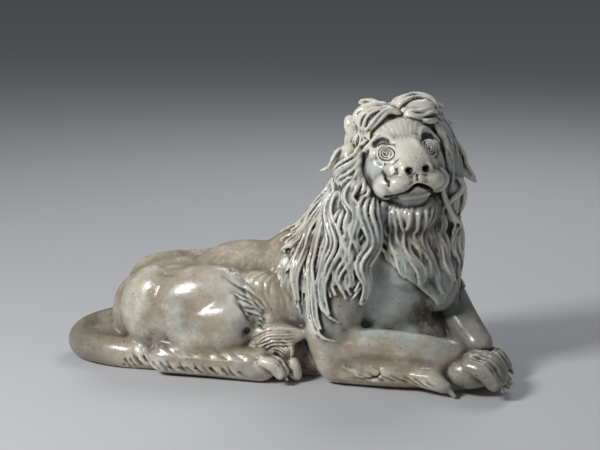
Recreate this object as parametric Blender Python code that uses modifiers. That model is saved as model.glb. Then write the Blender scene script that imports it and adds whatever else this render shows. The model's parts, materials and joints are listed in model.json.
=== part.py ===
"""A recumbent lion with its head turned to one side, cast and fired as one piece of porcelain.

The lion lies along +X with its head at the +X end. Its right side faces -Y and is the side that is
meant to be seen. The ground is Z = 0 and the origin is the middle of the underside.
"""

import math

import bmesh
import bpy
import numpy as np
from mathutils import Euler, Matrix, Vector
from mathutils.bvhtree import BVHTree

# The one driving size is the length from the tail to the toes, in metres. The pose and the carving
# keep their shares of it: every other size is written in centimetres of a lion this long, and the
# finished clay is brought to the length exactly.
LENGTH = 0.86

# Fineness of the clay at each stage, in centimetres, and how often it is smoothed there.
TRUNK_GRAIN, TRUNK_SMOOTHING = 0.75, 14
LIMB_GRAIN, LIMB_SMOOTHING = 0.50, 8
FINE_GRAIN, FINE_SMOOTHING = 0.30, 1
MOST_TRIANGLES = 9600
# The clay is first cut below the ground, so that the last cut at Z = 0 leaves a true flat.
UNDER = -0.6
# How far from the nose the facets go on getting coarser.
FACE_REACH = 13.0

# Shape of the swept limbs and locks.
LIMB_SIDES = 20
LOCK_SIDES = 16
STEPS_PER_SPAN = 6

# The head turns on the neck: degrees to the lion's right, degrees that the chin is raised, and
# degrees that it tips towards the right shoulder.
HEAD_CENTRE = Vector((19.2, -2.0, 40.6))
HEAD_TURN = 64.0
HEAD_LIFT = 15.0
HEAD_ROLL = 5.0


def smooth_path(points, steps=STEPS_PER_SPAN):
    """Rows of numbers interpolated by a Catmull-Rom curve through every given row."""
    rows = [list(p) for p in points]
    rows = [rows[0]] + rows + [rows[-1]]
    out = []
    for i in range(1, len(rows) - 2):
        for k in range(steps):
            t = k / steps
            a, b, c, d = rows[i - 1 : i + 3]
            out.append([
                0.5 * (2 * q + (r - p) * t + (2 * p - 5 * q + 4 * r - s) * t**2
                       + (3 * q - p - 3 * r + s) * t**3)
                for p, q, r, s in zip(a, b, c, d)
            ])
    out.append(rows[-2])
    return out


def lump(clay, centre, radii, turn=(0, 0, 0), frame=Matrix.Identity(4)):
    """An ellipsoid of clay, turned by Euler angles in degrees, in its own frame."""
    angles = Euler([math.radians(a) for a in turn])
    place = frame @ Matrix.LocRotScale(Vector(centre), angles, Vector(radii))
    bmesh.ops.create_uvsphere(clay, u_segments=32, v_segments=20, radius=1.0, matrix=place)


def sweep(clay, path, widths, depths, outward, sides=LIMB_SIDES):
    """A closed tube along path, with its half widths across and half depths along outward."""
    rings = []
    count = len(path)
    for i, place in enumerate(path):
        ahead = (path[min(i + 1, count - 1)] - path[max(i - 1, 0)]).normalized()
        out = outward[i] - ahead * outward[i].dot(ahead)
        out.normalize()
        across = ahead.cross(out)
        ring = []
        for k in range(sides):
            angle = 2 * math.pi * k / sides
            offset = across * (widths[i] * math.cos(angle)) + out * (depths[i] * math.sin(angle))
            ring.append(clay.verts.new(place + offset))
        rings.append(ring)
    for a, b in zip(rings, rings[1:]):
        for k in range(sides):
            n = (k + 1) % sides
            clay.faces.new((a[k], a[n], b[n], b[k]))
    clay.faces.new(reversed(rings[0]))
    clay.faces.new(rings[-1])


def limb(clay, points, outward=(0, 0, 1), flat=1.0, frame=Matrix.Identity(4)):
    """A round-ended limb through rows of (x, y, z, radius). flat is its depth over its width."""
    rows = smooth_path(points)
    path = [frame @ Vector(r[:3]) for r in rows]
    radii = [r[3] for r in rows]
    start = (path[0] - path[1]).normalized()
    end = (path[-1] - path[-2]).normalized()
    cap = [math.radians(a) for a in (80, 55, 28)]
    head = [(path[0] + start * radii[0] * math.sin(a), radii[0] * math.cos(a)) for a in cap]
    foot = [(path[-1] + end * radii[-1] * math.sin(a), radii[-1] * math.cos(a)) for a in reversed(cap)]
    path = [p for p, _ in head] + path + [p for p, _ in foot]
    radii = [r for _, r in head] + radii + [r for _, r in foot]
    out = frame.to_3x3() @ Vector(outward)
    sweep(clay, path, radii, [r * flat for r in radii], [out] * len(path))


def body_of(name, clay):
    """A mesh object from loose clay, which is then emptied."""
    mesh = bpy.data.meshes.new(name)
    bmesh.ops.recalc_face_normals(clay, faces=clay.faces)
    clay.to_mesh(mesh)
    clay.free()
    body = bpy.data.objects.new(name, mesh)
    bpy.context.scene.collection.objects.link(body)
    return body


def evaluated(body):
    """The object's mesh with its modifiers applied, in place of the old one."""
    graph = bpy.context.evaluated_depsgraph_get()
    mesh = bpy.data.meshes.new_from_object(body.evaluated_get(graph))
    body.modifiers.clear()
    body.data = mesh
    return body


def knead(body, grain, smoothing):
    """Runs overlapping lumps together into one skin and smooths the joins."""
    remesh = body.modifiers.new("clay", "REMESH")
    remesh.mode = "VOXEL"
    remesh.voxel_size = grain
    if smoothing:
        smooth = body.modifiers.new("thumb", "SMOOTH")
        smooth.factor = 0.5
        smooth.iterations = round(smoothing)
    return evaluated(body)


def carve(body, lines):
    """Presses grooves into a skin: each line is its depth, its half width and its points.

    A line of one point presses a dimple, and a depth below zero raises a ridge.
    """
    mesh = body.data
    places = np.empty(len(mesh.vertices) * 3)
    mesh.vertices.foreach_get("co", places)
    places = places.reshape(-1, 3)
    normals = np.empty(len(mesh.vertices) * 3)
    mesh.vertex_normals.foreach_get("vector", normals)
    pressed = np.zeros(len(places))
    for depth, reach, line in lines:
        rows = np.array(smooth_path(line)) if len(line) > 1 else np.array([line[0], line[0]])
        inside = (places > rows.min(axis=0) - reach) & (places < rows.max(axis=0) + reach)
        chosen = np.flatnonzero(inside.all(axis=1))
        away = np.full(len(chosen), reach)
        for start, end in zip(rows[:-1], rows[1:]):
            along = end - start
            offset = places[chosen] - start
            share = np.clip(offset @ along / max(along @ along, 1e-9), 0, 1)
            away = np.minimum(away, np.linalg.norm(offset - share[:, None] * along, axis=1))
        pressed[chosen] += depth * (1 - (away / reach) ** 2) ** 2
    places -= normals.reshape(-1, 3) * pressed[:, None]
    mesh.vertices.foreach_set("co", places.reshape(-1))
    mesh.update()


def add_body(clay, body):
    """Puts a finished skin back among loose clay, and removes its object."""
    clay.from_mesh(body.data)
    bpy.data.objects.remove(body)


def head_frame():
    """The head's own axes: X to the lion's right, Y out of the face, Z up, at the skull's middle."""
    turn = Matrix.Rotation(math.radians(270 - HEAD_TURN), 4, "Z")
    lift = Matrix.Rotation(math.radians(HEAD_LIFT), 4, "X")
    roll = Matrix.Rotation(math.radians(HEAD_ROLL), 4, "Y")
    return Matrix.Translation(HEAD_CENTRE) @ turn @ lift @ roll


HEAD = head_frame()

TRUNK = (
    # centre, radii and turn of each mass of the trunk
    ((-21.5, 0.0, 9.3), (13.8, 9.0, 10.6), (0, 0, 0)),       # rump
    ((-9.0, 0.0, 11.0), (15.0, 9.0, 12.6), (0, -4, 0)),      # loins
    ((3.5, 0.0, 13.5), (13.0, 10.0, 13.6), (0, -8, 0)),      # ribs
    ((14.0, 0.0, 17.0), (12.0, 10.0, 14.0), (0, 0, 0)),      # chest
    ((-6.0, 0.0, 3.0), (26.0, 10.0, 7.0), (0, 0, 0)),        # belly on the ground
    ((15.0, 0.0, 6.0), (14.0, 8.5, 8.0), (0, 0, 0)),         # breast between the forelegs
    ((-24.0, -4.5, 14.4), (6.5, 3.6, 4.0), (0, 0, 0)),       # point of the right hip
    ((-24.0, 4.5, 13.6), (6.5, 3.6, 4.0), (0, 0, 0)),        # point of the left hip
)


def trunk():
    clay = bmesh.new()
    for centre, radii, turn in TRUNK:
        lump(clay, centre, radii, turn)
    limb(clay, ((11, 0, 22, 9.0), (16, -0.5, 31, 7.0), (18, -1.5, 38, 6.5)))
    body = body_of("trunk", clay)
    return knead(body, TRUNK_GRAIN, TRUNK_SMOOTHING)


def hind_leg(clay, y):
    """The folded hind leg of one side, and the flank before it: y is -1 on the right, +1 on the left."""
    lump(clay, (-17.0, 7.8 * y, 10.6), (12.8, 6.0, 9.4), (0, -16, 0))
    limb(clay, ((-15, 9 * y, 10, 5.5), (-10.5, 10 * y, 11.0, 5.0)))
    lump(clay, (-4.0, 9.5 * y, 6.5), (6.5, 2.8, 5.5))
    lump(clay, (-5.5, 7.4 * y, 12.0), (8.5, 3.6, 7.5))
    limb(clay, ((-10.5, 10.5 * y, 9, 4.5), (-18, 11 * y, 5.5, 3.6)))
    limb(clay, ((-22.5, 12 * y, 3.4, 3.2), (-12, 12.2 * y, 3.2, 3.2), (-4, 12.4 * y, 3.0, 3.3)), flat=0.95)


def paw(clay, place, heading, size):
    """A paw with four toes and their claws. heading turns it to the left, in degrees."""
    frame = Matrix.LocRotScale(Vector(place), Euler((0, 0, math.radians(heading))), Vector((size,) * 3))
    lump(clay, (0, 0, 0.2), (4.2, 3.9, 2.9), frame=frame)
    for k in range(4):
        aside = 2.0 * (k - 1.5)
        reach = 5.6 - 0.45 * abs(k - 1.3)
        limb(clay, (
            (0.5, 0.8 * aside, 1.3, 1.5 * size), (reach - 2.2, 1.02 * aside, 0.9, 1.45 * size),
            (reach - 0.4, 1.1 * aside, -0.8, 1.1 * size),
        ), frame=frame)
        limb(clay, (
            (reach, 1.1 * aside, -0.7, 0.55 * size), (reach + 1.1, 1.12 * aside, -1.9, 0.2 * size),
        ), frame=frame)


def forelegs(clay):
    # shoulders
    for y in (-1, 1):
        lump(clay, (8.5, 6.5 * y, 14.0), (7.5, 5.0, 9.5))
    # right foreleg, along the ground in full view
    limb(clay, ((11, -6.5, 20, 6.5), (9.0, -9.0, 11, 5.4), (9.8, -10.5, 5, 4.4)))
    limb(clay, ((9.8, -10.5, 6.4, 4.2), (20, -11.3, 6.9, 3.7), (31, -11.6, 6.4, 3.3)))
    limb(clay, ((9.8, -11.0, 3.4, 3.2), (20, -11.8, 3.6, 3.3), (29, -12.0, 3.4, 2.8)))
    # its dew claw
    limb(clay, ((24, -13.2, 3.2, 1.9), (28.2, -14.6, 2.8, 1.9), (30.6, -15.4, 1.9, 1.3)))
    # left foreleg, crossing in front of the breast
    limb(clay, ((14, 6, 20, 6.5), (11, 10, 11, 5.2), (12, 11, 5, 4.2)))
    limb(clay, ((12, 11, 4.8, 4.2), (23, 8, 5.2, 4.0), (32, 0, 5.0, 3.6)))
    limb(clay, ((26, 5, 17, 4.0), (30.5, 2.5, 10.5, 3.4), (35, -2.5, 6.4, 2.8)))


def paws(clay):
    """The four paws and the claw of the right dew claw."""
    for y in (-1, 1):
        paw(clay, (-3.6, 12.4 * y, 3.0), 0, 0.86)
    paw(clay, (34.5, -12.2, 4.2), -6, 1.12)
    paw(clay, (35.0, -3.6, 3.4), -28, 0.95)
    limb(clay, ((30.6, -15.5, 1.9, 0.7), (32.4, -16.2, 0.5, 0.25)))


def tail(clay):
    """The tail, curled under the right thigh, and the rump that it lies against."""
    lump(clay, (-36.0, -3.4, 3.0), (5.6, 4.6, 3.7))
    lump(clay, (-27.0, 0.0, 9.0), (9.0, 8.6, 8.6))
    limb(clay, (
        (-33, 1, 6, 3.8), (-40.4, -0.5, 3.8, 3.5), (-40.0, -5, 3.0, 3.1), (-32, -8.5, 2.6, 2.9),
        (-20, -9, 2.6, 2.5), (-8, -9.5, 3.5, 2.4), (-2.0, -9.5, 5.5, 3.2),
    ))


def mane_mass(clay):
    """The bulk under the mane's locks, on the neck and on the head."""
    limb(clay, ((16, -5.5, 38, 4.6), (12.8, -6.5, 28, 5.6), (10.5, -8.0, 17, 5.4)))
    limb(clay, ((22.4, 3.5, 38, 4.6), (23.2, 5, 28, 5.2), (24.4, 4.5, 18, 5.0)))
    limb(clay, ((16.8, 1, 44, 4.5), (15.4, 1, 37, 5.2), (12.2, 0.5, 29, 7.0), (6.5, 0, 22, 7.5)))
    limb(clay, ((18, 3.5, 38, 5.0), (17.5, 5.0, 29, 5.8), (16, 5.5, 20, 6.0)))
    limb(clay, ((21.5, -3.5, 32, 5.0), (20.5, -3.5, 22, 6.4)))
    limb(clay, ((25.4, -1.0, 33, 3.4), (26.4, -1.2, 24, 4.4), (26.6, -0.6, 16, 4.2)))
    lump(clay, (-4.0, 1.6, 7.8), (4.2, 2.8, 2.2), frame=HEAD)
    lump(clay, (4.0, 1.8, 7.6), (3.0, 2.6, 2.0), frame=HEAD)
    lump(clay, (-4.0, 3.6, 8.2), (3.8, 2.2, 1.9), frame=HEAD)
    lump(clay, (3.4, 3.8, 7.0), (3.2, 2.0, 1.7), frame=HEAD)
    lump(clay, (-8.0, 0.6, 4.4), (2.6, 2.6, 3.4), frame=HEAD)
    lump(clay, (9.0, 0.8, -1.0), (2.4, 2.6, 5.0), frame=HEAD)
    lump(clay, (-8.4, 1.4, -4.5), (1.9, 2.2, 8.5), frame=HEAD)


def head_mass(clay):
    """The skull, muzzle, jaw and cheeks, in the head's own axes."""
    lump(clay, (0, -1.0, 2.0), (7.0, 7.4, 7.4), frame=HEAD)
    lump(clay, (-1.0, 0.2, 5.0), (7.0, 6.0, 4.6), frame=HEAD)
    lump(clay, (0, 4.0, 3.6), (5.6, 3.6, 3.6), frame=HEAD)
    lump(clay, (0, 6.8, -4.6), (4.9, 4.4, 3.3), frame=HEAD)
    lump(clay, (0, 3.8, -7.6), (3.9, 3.8, 2.8), frame=HEAD)
    lump(clay, (0, 1.8, -10.2), (4.6, 4.4, 3.6), frame=HEAD)
    limb(clay, ((0, 5.2, 3.8, 2.7), (0, 7.9, 1.4, 2.7), (0, 9.8, -0.8, 3.0)), outward=(0, 1, 1), flat=0.48,
         frame=HEAD)
    for side in (-1, 1):
        lump(clay, (4.8 * side, 3.8, -2.2), (2.7, 3.6, 4.8), frame=HEAD)
        limb(clay, ((2.4 * side, 6.2, 0.6, 1.9), (3.0 * side, 7.6, -3.0, 2.2)), frame=HEAD)


EYE = Vector((4.2, 6.0, 0.7))
EYE_RADIUS = 1.75


def head_features(clay):
    """What stays crisp on the face: nose, muzzle pads, chin, brows, eyes and ears."""
    lump(clay, (0.1, 9.4, -2.0), (3.3, 2.2, 1.3), (-14, 0, 0), frame=HEAD)
    lump(clay, (-0.1, 7.5, -7.6), (2.9, 1.8, 1.0), frame=HEAD)
    lump(clay, (0.1, 5.6, -8.6), (3.3, 2.5, 1.7), frame=HEAD)
    for side in (-1, 1):
        lump(clay, (1.8 * side, 10.3, -2.9), (1.5, 1.4, 1.1), frame=HEAD)
        lump(clay, (2.5 * side, 8.4, -4.9), (3.2, 2.8, 2.1), (0, 12 * side, 0), frame=HEAD)
        lump(clay, (4.6 * side, 6.4, -5.0), (2.4, 3.0, 2.4), frame=HEAD)
        limb(clay, ((7.4 * side, 3.6, 1.4, 0.5), (6.2 * side, 5.1, 3.1, 0.7), (4.3 * side, 6.3, 4.0, 0.8),
                    (2.9 * side, 7.1, 3.4, 0.7), (2.2 * side, 7.6, 2.4, 0.55)), frame=HEAD)
        lump(clay, (EYE.x * side, EYE.y - 0.6, EYE.z), (2.5, 1.7, 2.1), frame=HEAD)
        lump(clay, (7.0 * side, -1.6, 7.4), (1.3, 1.6, 2.7), (0, 12 * side, 0), frame=HEAD)
        lump(clay, (EYE.x * side, EYE.y, EYE.z), (EYE_RADIUS, EYE_RADIUS, EYE_RADIUS * 0.95), frame=HEAD)


def face_lines():
    """The grooves of the face: eyes, brow hollows, nostrils, nose to lip, and the open lips."""
    lines = []
    for side in (-1, 1):
        lines.append((0.7, 0.9, ((6.4 * side, 5.6, 2.0), (5.2 * side, 6.8, 2.9), (4.0 * side, 7.6, 3.2),
                                 (2.9 * side, 8.0, 2.4))))
        lines.append((1.0, 0.8, ((1.6 * side, 11.3, -3.2),)))
        ring = [(EYE.x * side + 1.3 * math.cos(0.785 * k),
                 7.4, EYE.z + 1.3 * math.sin(0.785 * k)) for k in range(9)]
        lines.append((0.25, 0.4, ring))
    lines.append((0.4, 0.5, ((0, 11.6, -3.8), (0.1, 11.2, -5.2))))
    lines.append((0.9, 0.55, (
        (5.2, 8.0, -6.9), (3.6, 9.4, -6.9), (2.0, 10.2, -6.6), (0.3, 10.6, -5.9),
        (-1.4, 10.2, -6.4), (-2.8, 9.4, -7.0), (-3.8, 8.4, -7.4),
    )))
    return [(depth, reach, [HEAD @ Vector(p) for p in line]) for depth, reach, line in lines]


# Key lines of the mane, in two fans: the crest from the right cheek round the nape to the left cheek, and
# the throat from the right corner of the mouth to the left. Each runs from its root to its tip.
CREST = (
    # from beside the right cheek, round behind the neck, to the left cheek
    ((12.8, -5.2, 45.2), (13.6, -8, 40.5), (15.6, -10, 34.0), (16.0, -11, 29.0), (15.4, -12, 23.0),
     (15.0, -12, 16.0)),
    ((11.9, -3.8, 46.0), (12.0, -7, 39.5), (12.6, -10.5, 34.0), (12.8, -11.5, 28.0), (12.2, -12, 22.0),
     (12.4, -12, 15.0)),
    ((11.6, -2.2, 46.0), (10.6, -5, 39.0), (9.4, -9, 33.5), (9.2, -10.5, 27.0), (8.4, -12, 20.0),
     (9.0, -12.5, 13.0)),
    ((11.6, -0.8, 46.0), (10.2, -3, 39.0), (7.6, -7, 34.0), (6.0, -9.5, 28.0), (5.2, -11, 21.0),
     (7.4, -12, 11.0)),
    ((12.0, 1, 46.0), (10.4, 0, 39.5), (7.2, -3, 34.5), (4.4, -6, 30.0), (2.2, -8.5, 24.0),
     (2.4, -10, 15.0)),
    ((12.4, 2, 46.0), (11.0, 1.6, 39.5), (8.0, 0, 34.8), (3.6, -2, 31.0), (-0.4, -5, 27.0),
     (-3.0, -7, 22.5)),
    ((13.0, 3, 46.0), (12.0, 3, 39.0), (9.0, 3, 34.0), (4.5, 4, 29.5), (0.0, 4, 26.5), (-3.5, 5, 24.0)),
    ((14.5, 5, 46.0), (14.0, 6, 39.0), (11.0, 9, 32.0), (7.5, 11, 25.0), (5.0, 12, 18.0), (6.0, 12, 11.0)),
    ((18.0, 6, 46.0), (18.5, 8, 39.0), (17.5, 10, 31.0), (16.0, 11, 25.0), (14.0, 12, 18.0),
     (13.0, 12, 11.0)),
    ((22.0, 5, 46.0), (23.5, 7, 38.0), (24.5, 9, 30.0), (24.0, 10, 23.0), (23.0, 10, 16.0),
     (23.0, 10, 10.0)),
    ((25.5, 3, 45.0), (27.0, 5, 38.0), (28.5, 6, 30.0), (29.0, 6, 23.0), (29.0, 5, 16.0), (31.0, 2, 9.0)),
    ((26.5, 0, 44.0), (27.5, -1, 38.0), (28.0, -2.5, 32.5), (28.6, -3, 28.0), (29.4, -3, 24.0),
     (30.4, -2.5, 19.0)),
)
THROAT = (
    # from under the right corner of the mouth to under the left
    ((17.6, -9.5, 34.2), (17.2, -10.5, 31.5), (17.6, -11, 29.0), (18.2, -11, 27.0), (18.6, -11, 25.0),
     (18.9, -11, 23.0)),
    ((19.5, -9, 34.0), (19.4, -9.6, 31.3), (19.9, -10, 27.0), (21.0, -10, 24.0), (22.6, -9, 21.0),
     (24.7, -8, 17.6)),
    ((22.8, -8, 34.0), (22.7, -8.4, 31.0), (23.0, -8.4, 27.0), (24.4, -8, 23.0), (26.6, -7, 18.0),
     (29.0, -5.6, 10.0)),
    ((25.5, -6, 34.5), (25.6, -7, 31.0), (26.2, -7, 27.5), (27.6, -6.4, 24.0), (29.2, -5.4, 20.5),
     (30.2, -4, 16.0)),
    ((27.4, -3, 35.0), (27.8, -4, 31.0), (28.4, -4.4, 27.5), (29.2, -4.2, 24.0), (30.0, -3.6, 20.5),
     (30.6, -3, 16.0)),
)
# The lines of the crest spring from the crown of the head.
CROWN = HEAD @ Vector((0.5, -1.0, 9.2))

# Single locks in front of the shoulder and across the throat: half width and line.
SIDE_LOCKS = (
    # the long locks in front of the right shoulder, with hooked tips
    (1.5, ((14.6, -9, 38.6), (13.2, -10, 36.5), (12.3, -11, 34.3), (13.8, -11.5, 31.7), (12.5, -12, 27.2),
           (12.3, -12, 23.5), (12.6, -12, 18.1))),
    (1.9, ((16.4, -9.4, 35.8), (15.2, -10.6, 32.4), (16.6, -11.5, 27.4), (14.6, -12, 23.2),
           (15.6, -12, 19.0), (14.9, -12, 15.4), (16.4, -12.4, 16.4))),
    (1.5, ((10.8, -8, 36.6), (8.8, -9.6, 32.6), (10.6, -11, 26.7), (9.2, -12, 22.4), (8.1, -12, 18.6),
           (9.0, -12.5, 14.0), (10.6, -12.6, 11.8))),
    (1.6, ((9.6, -7, 37.0), (6.8, -9, 31.4), (5.9, -10, 27.4), (5.3, -11, 22.0), (6.8, -12, 15.8),
           (8.2, -12, 9.6), (10.4, -12.5, 8.4))),
    (1.4, ((8.6, -5.6, 36.6), (5.0, -7, 31.0), (3.6, -8, 27.4), (2.7, -9, 24.2), (2.0, -10, 18.8),
           (3.2, -10.5, 11.4))),
    (1.3, ((9.0, -3.6, 37.0), (5.8, -5.4, 33.0), (4.1, -6, 30.2), (1.7, -7, 26.5), (-2.6, -7.2, 23.9))),
)

# Single locks that stand clear of the mane: half width, half depth and line.
LOOSE_LOCKS = (
    # over the right shoulder, its tip flung back
    (1.0, 0.7, ((12.4, -5, 43.6), (10.6, -6.2, 43.2), (9.1, -7, 42.4), (8.3, -7.6, 40.9), (7.6, -8, 39.6),
                (6.0, -8.2, 38.8))),
    # out over the left shoulder, and hanging beside the left cheek
    (1.6, 0.9, [HEAD @ Vector(p) for p in (
        (-8, 2, 6.5), (-10.5, 1, 2.9), (-12.2, 0, -1.0), (-12.7, 0, -2.9), (-13.9, 0, -4.9),
            (-14.6, 0.4, -6.4))]),
    (1.6, 0.9, [HEAD @ Vector(p) for p in (
        (-7.2, 3.4, 3.5), (-7.8, 3.0, 0), (-8.5, 2.6, -4.4), (-9.3, 2.2, -8.6), (-7.8, 2, -12),
            (-6.0, 2, -14.7), (-5.8, 2, -17.6))]),
)

# Single locks of the head, in the head's own axes: half width, cling and line.
HEAD_LOCKS = (
    # width, cling and line: brushed from the parting over the right temple
    (0.8, 0.7, ((-0.2, 6.3, 7.9), (1.8, 6.0, 7.8), (3.7, 5.6, 7.0), (4.9, 5.0, 5.4), (6.2, 4.2, 3.2))),
    (0.9, 0.8, ((0.1, 5.8, 8.3), (2.6, 5.4, 8.4), (4.8, 4.7, 7.2), (6.0, 4.1, 5.4), (6.5, 3.9, 3.0))),
    (1.0, 0.8, ((0.7, 5.2, 8.6), (3.6, 4.6, 8.9), (5.8, 3.8, 7.8), (6.8, 3.2, 5.8), (6.6, 3.6, 2.6))),
    (1.1, 0.7, ((0.8, 4.2, 9.2), (3.8, 3.4, 9.6), (6.4, 2.4, 8.3), (7.4, 2.0, 5.8), (7.4, 2.0, 2.0))),
    (1.2, 0.5, ((0.8, 2.8, 9.6), (3.8, 1.8, 10.0), (6.6, 0.8, 8.6), (7.8, 0.4, 5.8), (8.0, 0.4, 2.0))),
    (1.0, 0.1, ((0.8, 3.5, 9.2), (3.1, 2.5, 10.4), (5.0, 1.5, 11.3), (6.0, 1.0, 10.9))),
    # swept out from the right cheek, the longest hooked forwards
    (1.1, 0.6, ((6.4, 3.6, 4.5), (7.8, 2.6, 2.4), (9.1, 1.5, 0.6), (10.6, 0.5, -1.4), (11.4, 0.5, -3.6))),
    (1.1, 0.6, ((7.0, 3.4, 2.6), (8.2, 2.6, 0.8), (9.9, 1.6, -0.8), (11.4, 0.8, -2.8), (12.0, 0.8, -5.0))),
    (1.1, 0.4, ((7.2, 3.2, 1.0), (8.6, 2.6, -0.8), (10.6, 1.6, -2.4), (12.0, 1.0, -4.0), (12.3, 1.4, -5.8),
                (11.1, 3.0, -6.8))),
    (1.0, 0.6, ((7.2, 3.4, -0.8), (8.6, 3.2, -2.6), (10.4, 2.8, -3.8), (11.4, 2.2, -5.4))),
    (1.0, 0.7, ((7.0, 3.6, -2.6), (8.2, 3.4, -4.4), (9.8, 3.0, -5.6), (10.8, 2.6, -7.4),
                (10.6, 2.6, -9.6))),
    (1.0, 0.8, ((6.6, 3.8, -4.2), (7.8, 3.4, -6.2), (9.2, 3.0, -8.0), (9.6, 3.0, -10.4))),
    # the forelock, rolled over to the left
    (1.3, 0.5, ((0.2, 3.0, 9.6), (-2.0, 2.6, 10.7), (-4.4, 2.4, 10.8), (-6.9, 2.6, 9.8), (-8.5, 2.8, 8.5),
                (-9.0, 3.0, 7.0))),
    (1.3, 0.6, ((0.2, 1.6, 9.6), (-2.2, 1.0, 10.4), (-5.0, 0.8, 10.5), (-7.6, 0.8, 9.4), (-9.4, 1.0, 7.6),
                (-10.0, 1.0, 5.4))),
    (1.1, 0.6, ((-0.2, 4.2, 9.0), (-2.4, 4.0, 9.8), (-4.8, 3.6, 9.9), (-7.0, 3.4, 9.1), (-8.6, 3.2, 7.4))),
    (0.7, 0.1, ((-0.7, 5.0, 8.4), (-2.9, 5.4, 7.7), (-4.9, 5.2, 8.2), (-6.0, 4.6, 9.1), (-5.0, 4.8, 9.5),
                (-4.4, 4.8, 9.1))),
    # brushed over the left temple
    (0.8, 0.5, ((-0.8, 5.9, 7.4), (-3.0, 5.6, 7.0), (-5.6, 4.8, 7.2), (-7.6, 3.8, 7.0), (-8.8, 3.2, 5.6))),
    (1.0, 0.0, ((-1.3, 5.3, 7.7), (-4.6, 4.6, 7.7), (-7.3, 3.4, 7.4), (-9.3, 2.2, 5.9), (-11.0, 1.6, 5.0),
                (-12.4, 1.2, 5.1))),
    (0.9, 0.2, ((-2.0, 5.4, 6.9), (-5.0, 4.8, 6.8), (-7.8, 3.6, 6.2), (-10.0, 2.0, 4.6),
                (-11.6, 1.2, 3.6))),
    (0.8, 0.1, ((-5.0, 2.0, 9.8), (-7.2, 1.0, 9.5), (-9.6, 0.6, 8.7), (-10.9, 0.4, 7.5))),
    (0.8, 0.8, ((-3.4, 5.4, 5.8), (-5.9, 4.6, 6.0), (-8.0, 3.6, 4.7), (-9.1, 3.0, 2.8), (-8.1, 3.0, 0.2))),
    (0.9, 0.8, ((-7.6, 3.4, 5.0), (-8.8, 2.8, 3.0), (-8.8, 2.8, 0.0), (-8.4, 3.0, -3.0),
                (-8.8, 3.0, -6.0))),
)


def fan_line(fan, share):
    """The line at a place from 0 to 1 across a fan of key lines."""
    place = share * (len(fan) - 1)
    i = min(int(place), len(fan) - 2)
    return [Vector(a).lerp(Vector(b), place - i) for a, b in zip(fan[i], fan[i + 1])]


def from_crown(line):
    """The line with its root carried back to the crown."""
    return [CROWN.lerp(line[0], 0.3), CROWN.lerp(line[0], 0.7)] + line


def relaxed(rows, times):
    """The rows with each one drawn towards its neighbours."""
    for _ in range(times):
        rows = [rows[0]] + [(a + b * 2 + c) / 4 for a, b, c in zip(rows, rows[1:], rows[2:])] + [rows[-1]]
    return rows


def lock(clay, skin, line, width, depth, wave=0.0, waves=2.0, phase=0.0, rise=0.3, reach=1.0, cling=1.0):
    """A lock of hair along a line, waving from side to side, tapered to its tip.

    cling is how closely it is laid on the skin: 1 follows it, 0 leaves the line free.
    """
    rows = [Vector(p) for p in smooth_path(line)]
    rows = rows[: max(4, round(len(rows) * reach))]
    count = len(rows) - 1
    path, outward, widths, depths = [], [], [], []
    for i, place in enumerate(rows):
        t = i / count
        _, normal, _, _ = skin.find_nearest(place)
        ahead = (rows[min(i + 1, count)] - rows[max(i - 1, 0)]).normalized()
        across = ahead.cross(normal).normalized()
        sway = wave * min(1.0, 3 * t) * math.sin(2 * math.pi * (waves * t + phase))
        taper = min(1.0, 0.3 + 2.2 * t) * (1 - t**3) ** 0.8 + 0.06
        sunk = 0.8 * max(0.0, 1 - 5 * t) * depth
        place = place + across * sway
        foot, normal, _, _ = skin.find_nearest(place)
        path.append(place.lerp(foot + normal * (depth * rise - sunk), cling))
        outward.append(normal)
        widths.append(width * taper)
        depths.append(depth * taper)
    sweep(clay, relaxed(path, 2), widths, depths, relaxed(outward, 3), LOCK_SIDES)


# Fans of locks on the lion's right: the outer starts, middles and ends of each fan, how many locks it
# has, and their half width.
FRINGES = (
    # over the knee
    (((-10.5, -10.5, 18.0), (-8.4, -12.5, 11.6)), ((-4.2, -12, 17.0), (-6.0, -12.8, 11.4)),
     ((-0.6, -12, 11.6), (-5.0, -12.5, 9.2)), 5, 1.0),
    # the tuft of the tail, curling out from under the knee
    (((-7.5, -11, 8.0), (-7.0, -11.5, 6.0)), ((-3.0, -12, 11.4), (-2.4, -12.5, 6.4)),
     ((1.6, -11.5, 11.2), (0.2, -12, 4.6)), 4, 1.0),
    (((-3.6, -11.5, 9.6), (-3.0, -12.4, 7.0)), ((1.4, -12, 9.4), (0.2, -12.5, 5.4)),
     ((3.1, -11.5, 3.4), (1.2, -12.4, 1.2)), 3, 1.0),
    # from the root of the tail to the heel
    (((-38.0, -5, 6.0), (-26.0, -10.5, 7.4)), ((-37.0, -7.0, 4.2), (-25.6, -11.6, 4.4)),
     ((-35.4, -8.0, 0.6), (-24.4, -12.4, 1.6)), 6, 1.1),
    # behind the wrist
    (((11.0, -14, 4.6), (14.0, -14.4, 3.0)), ((14.6, -15, 3.2), (16.4, -15, 2.0)),
     ((18.4, -15, 1.6), (20.4, -14.8, 0.6)), 3, 0.8),
)
FRINGE_DEPTH = 0.7


def fringe(clay, skin, starts, middles, ends, count, width):
    """A fan of locks between two outer lines, each of three points."""
    for k in range(count):
        share = k / (count - 1)
        line = [Vector(a).lerp(Vector(b), share) for a, b in (starts, middles, ends)]
        line[2] = line[2].lerp(line[1], 0.25 * math.sin(1.7 * k) ** 2)
        lock(clay, skin, line, width, FRINGE_DEPTH)


# How many locks each fan of the mane has, and how many waves each lock.
CREST_LOCKS, CREST_CLUMPS, THROAT_LOCKS = 30, 20, 9
WAVES = 4.0


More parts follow.
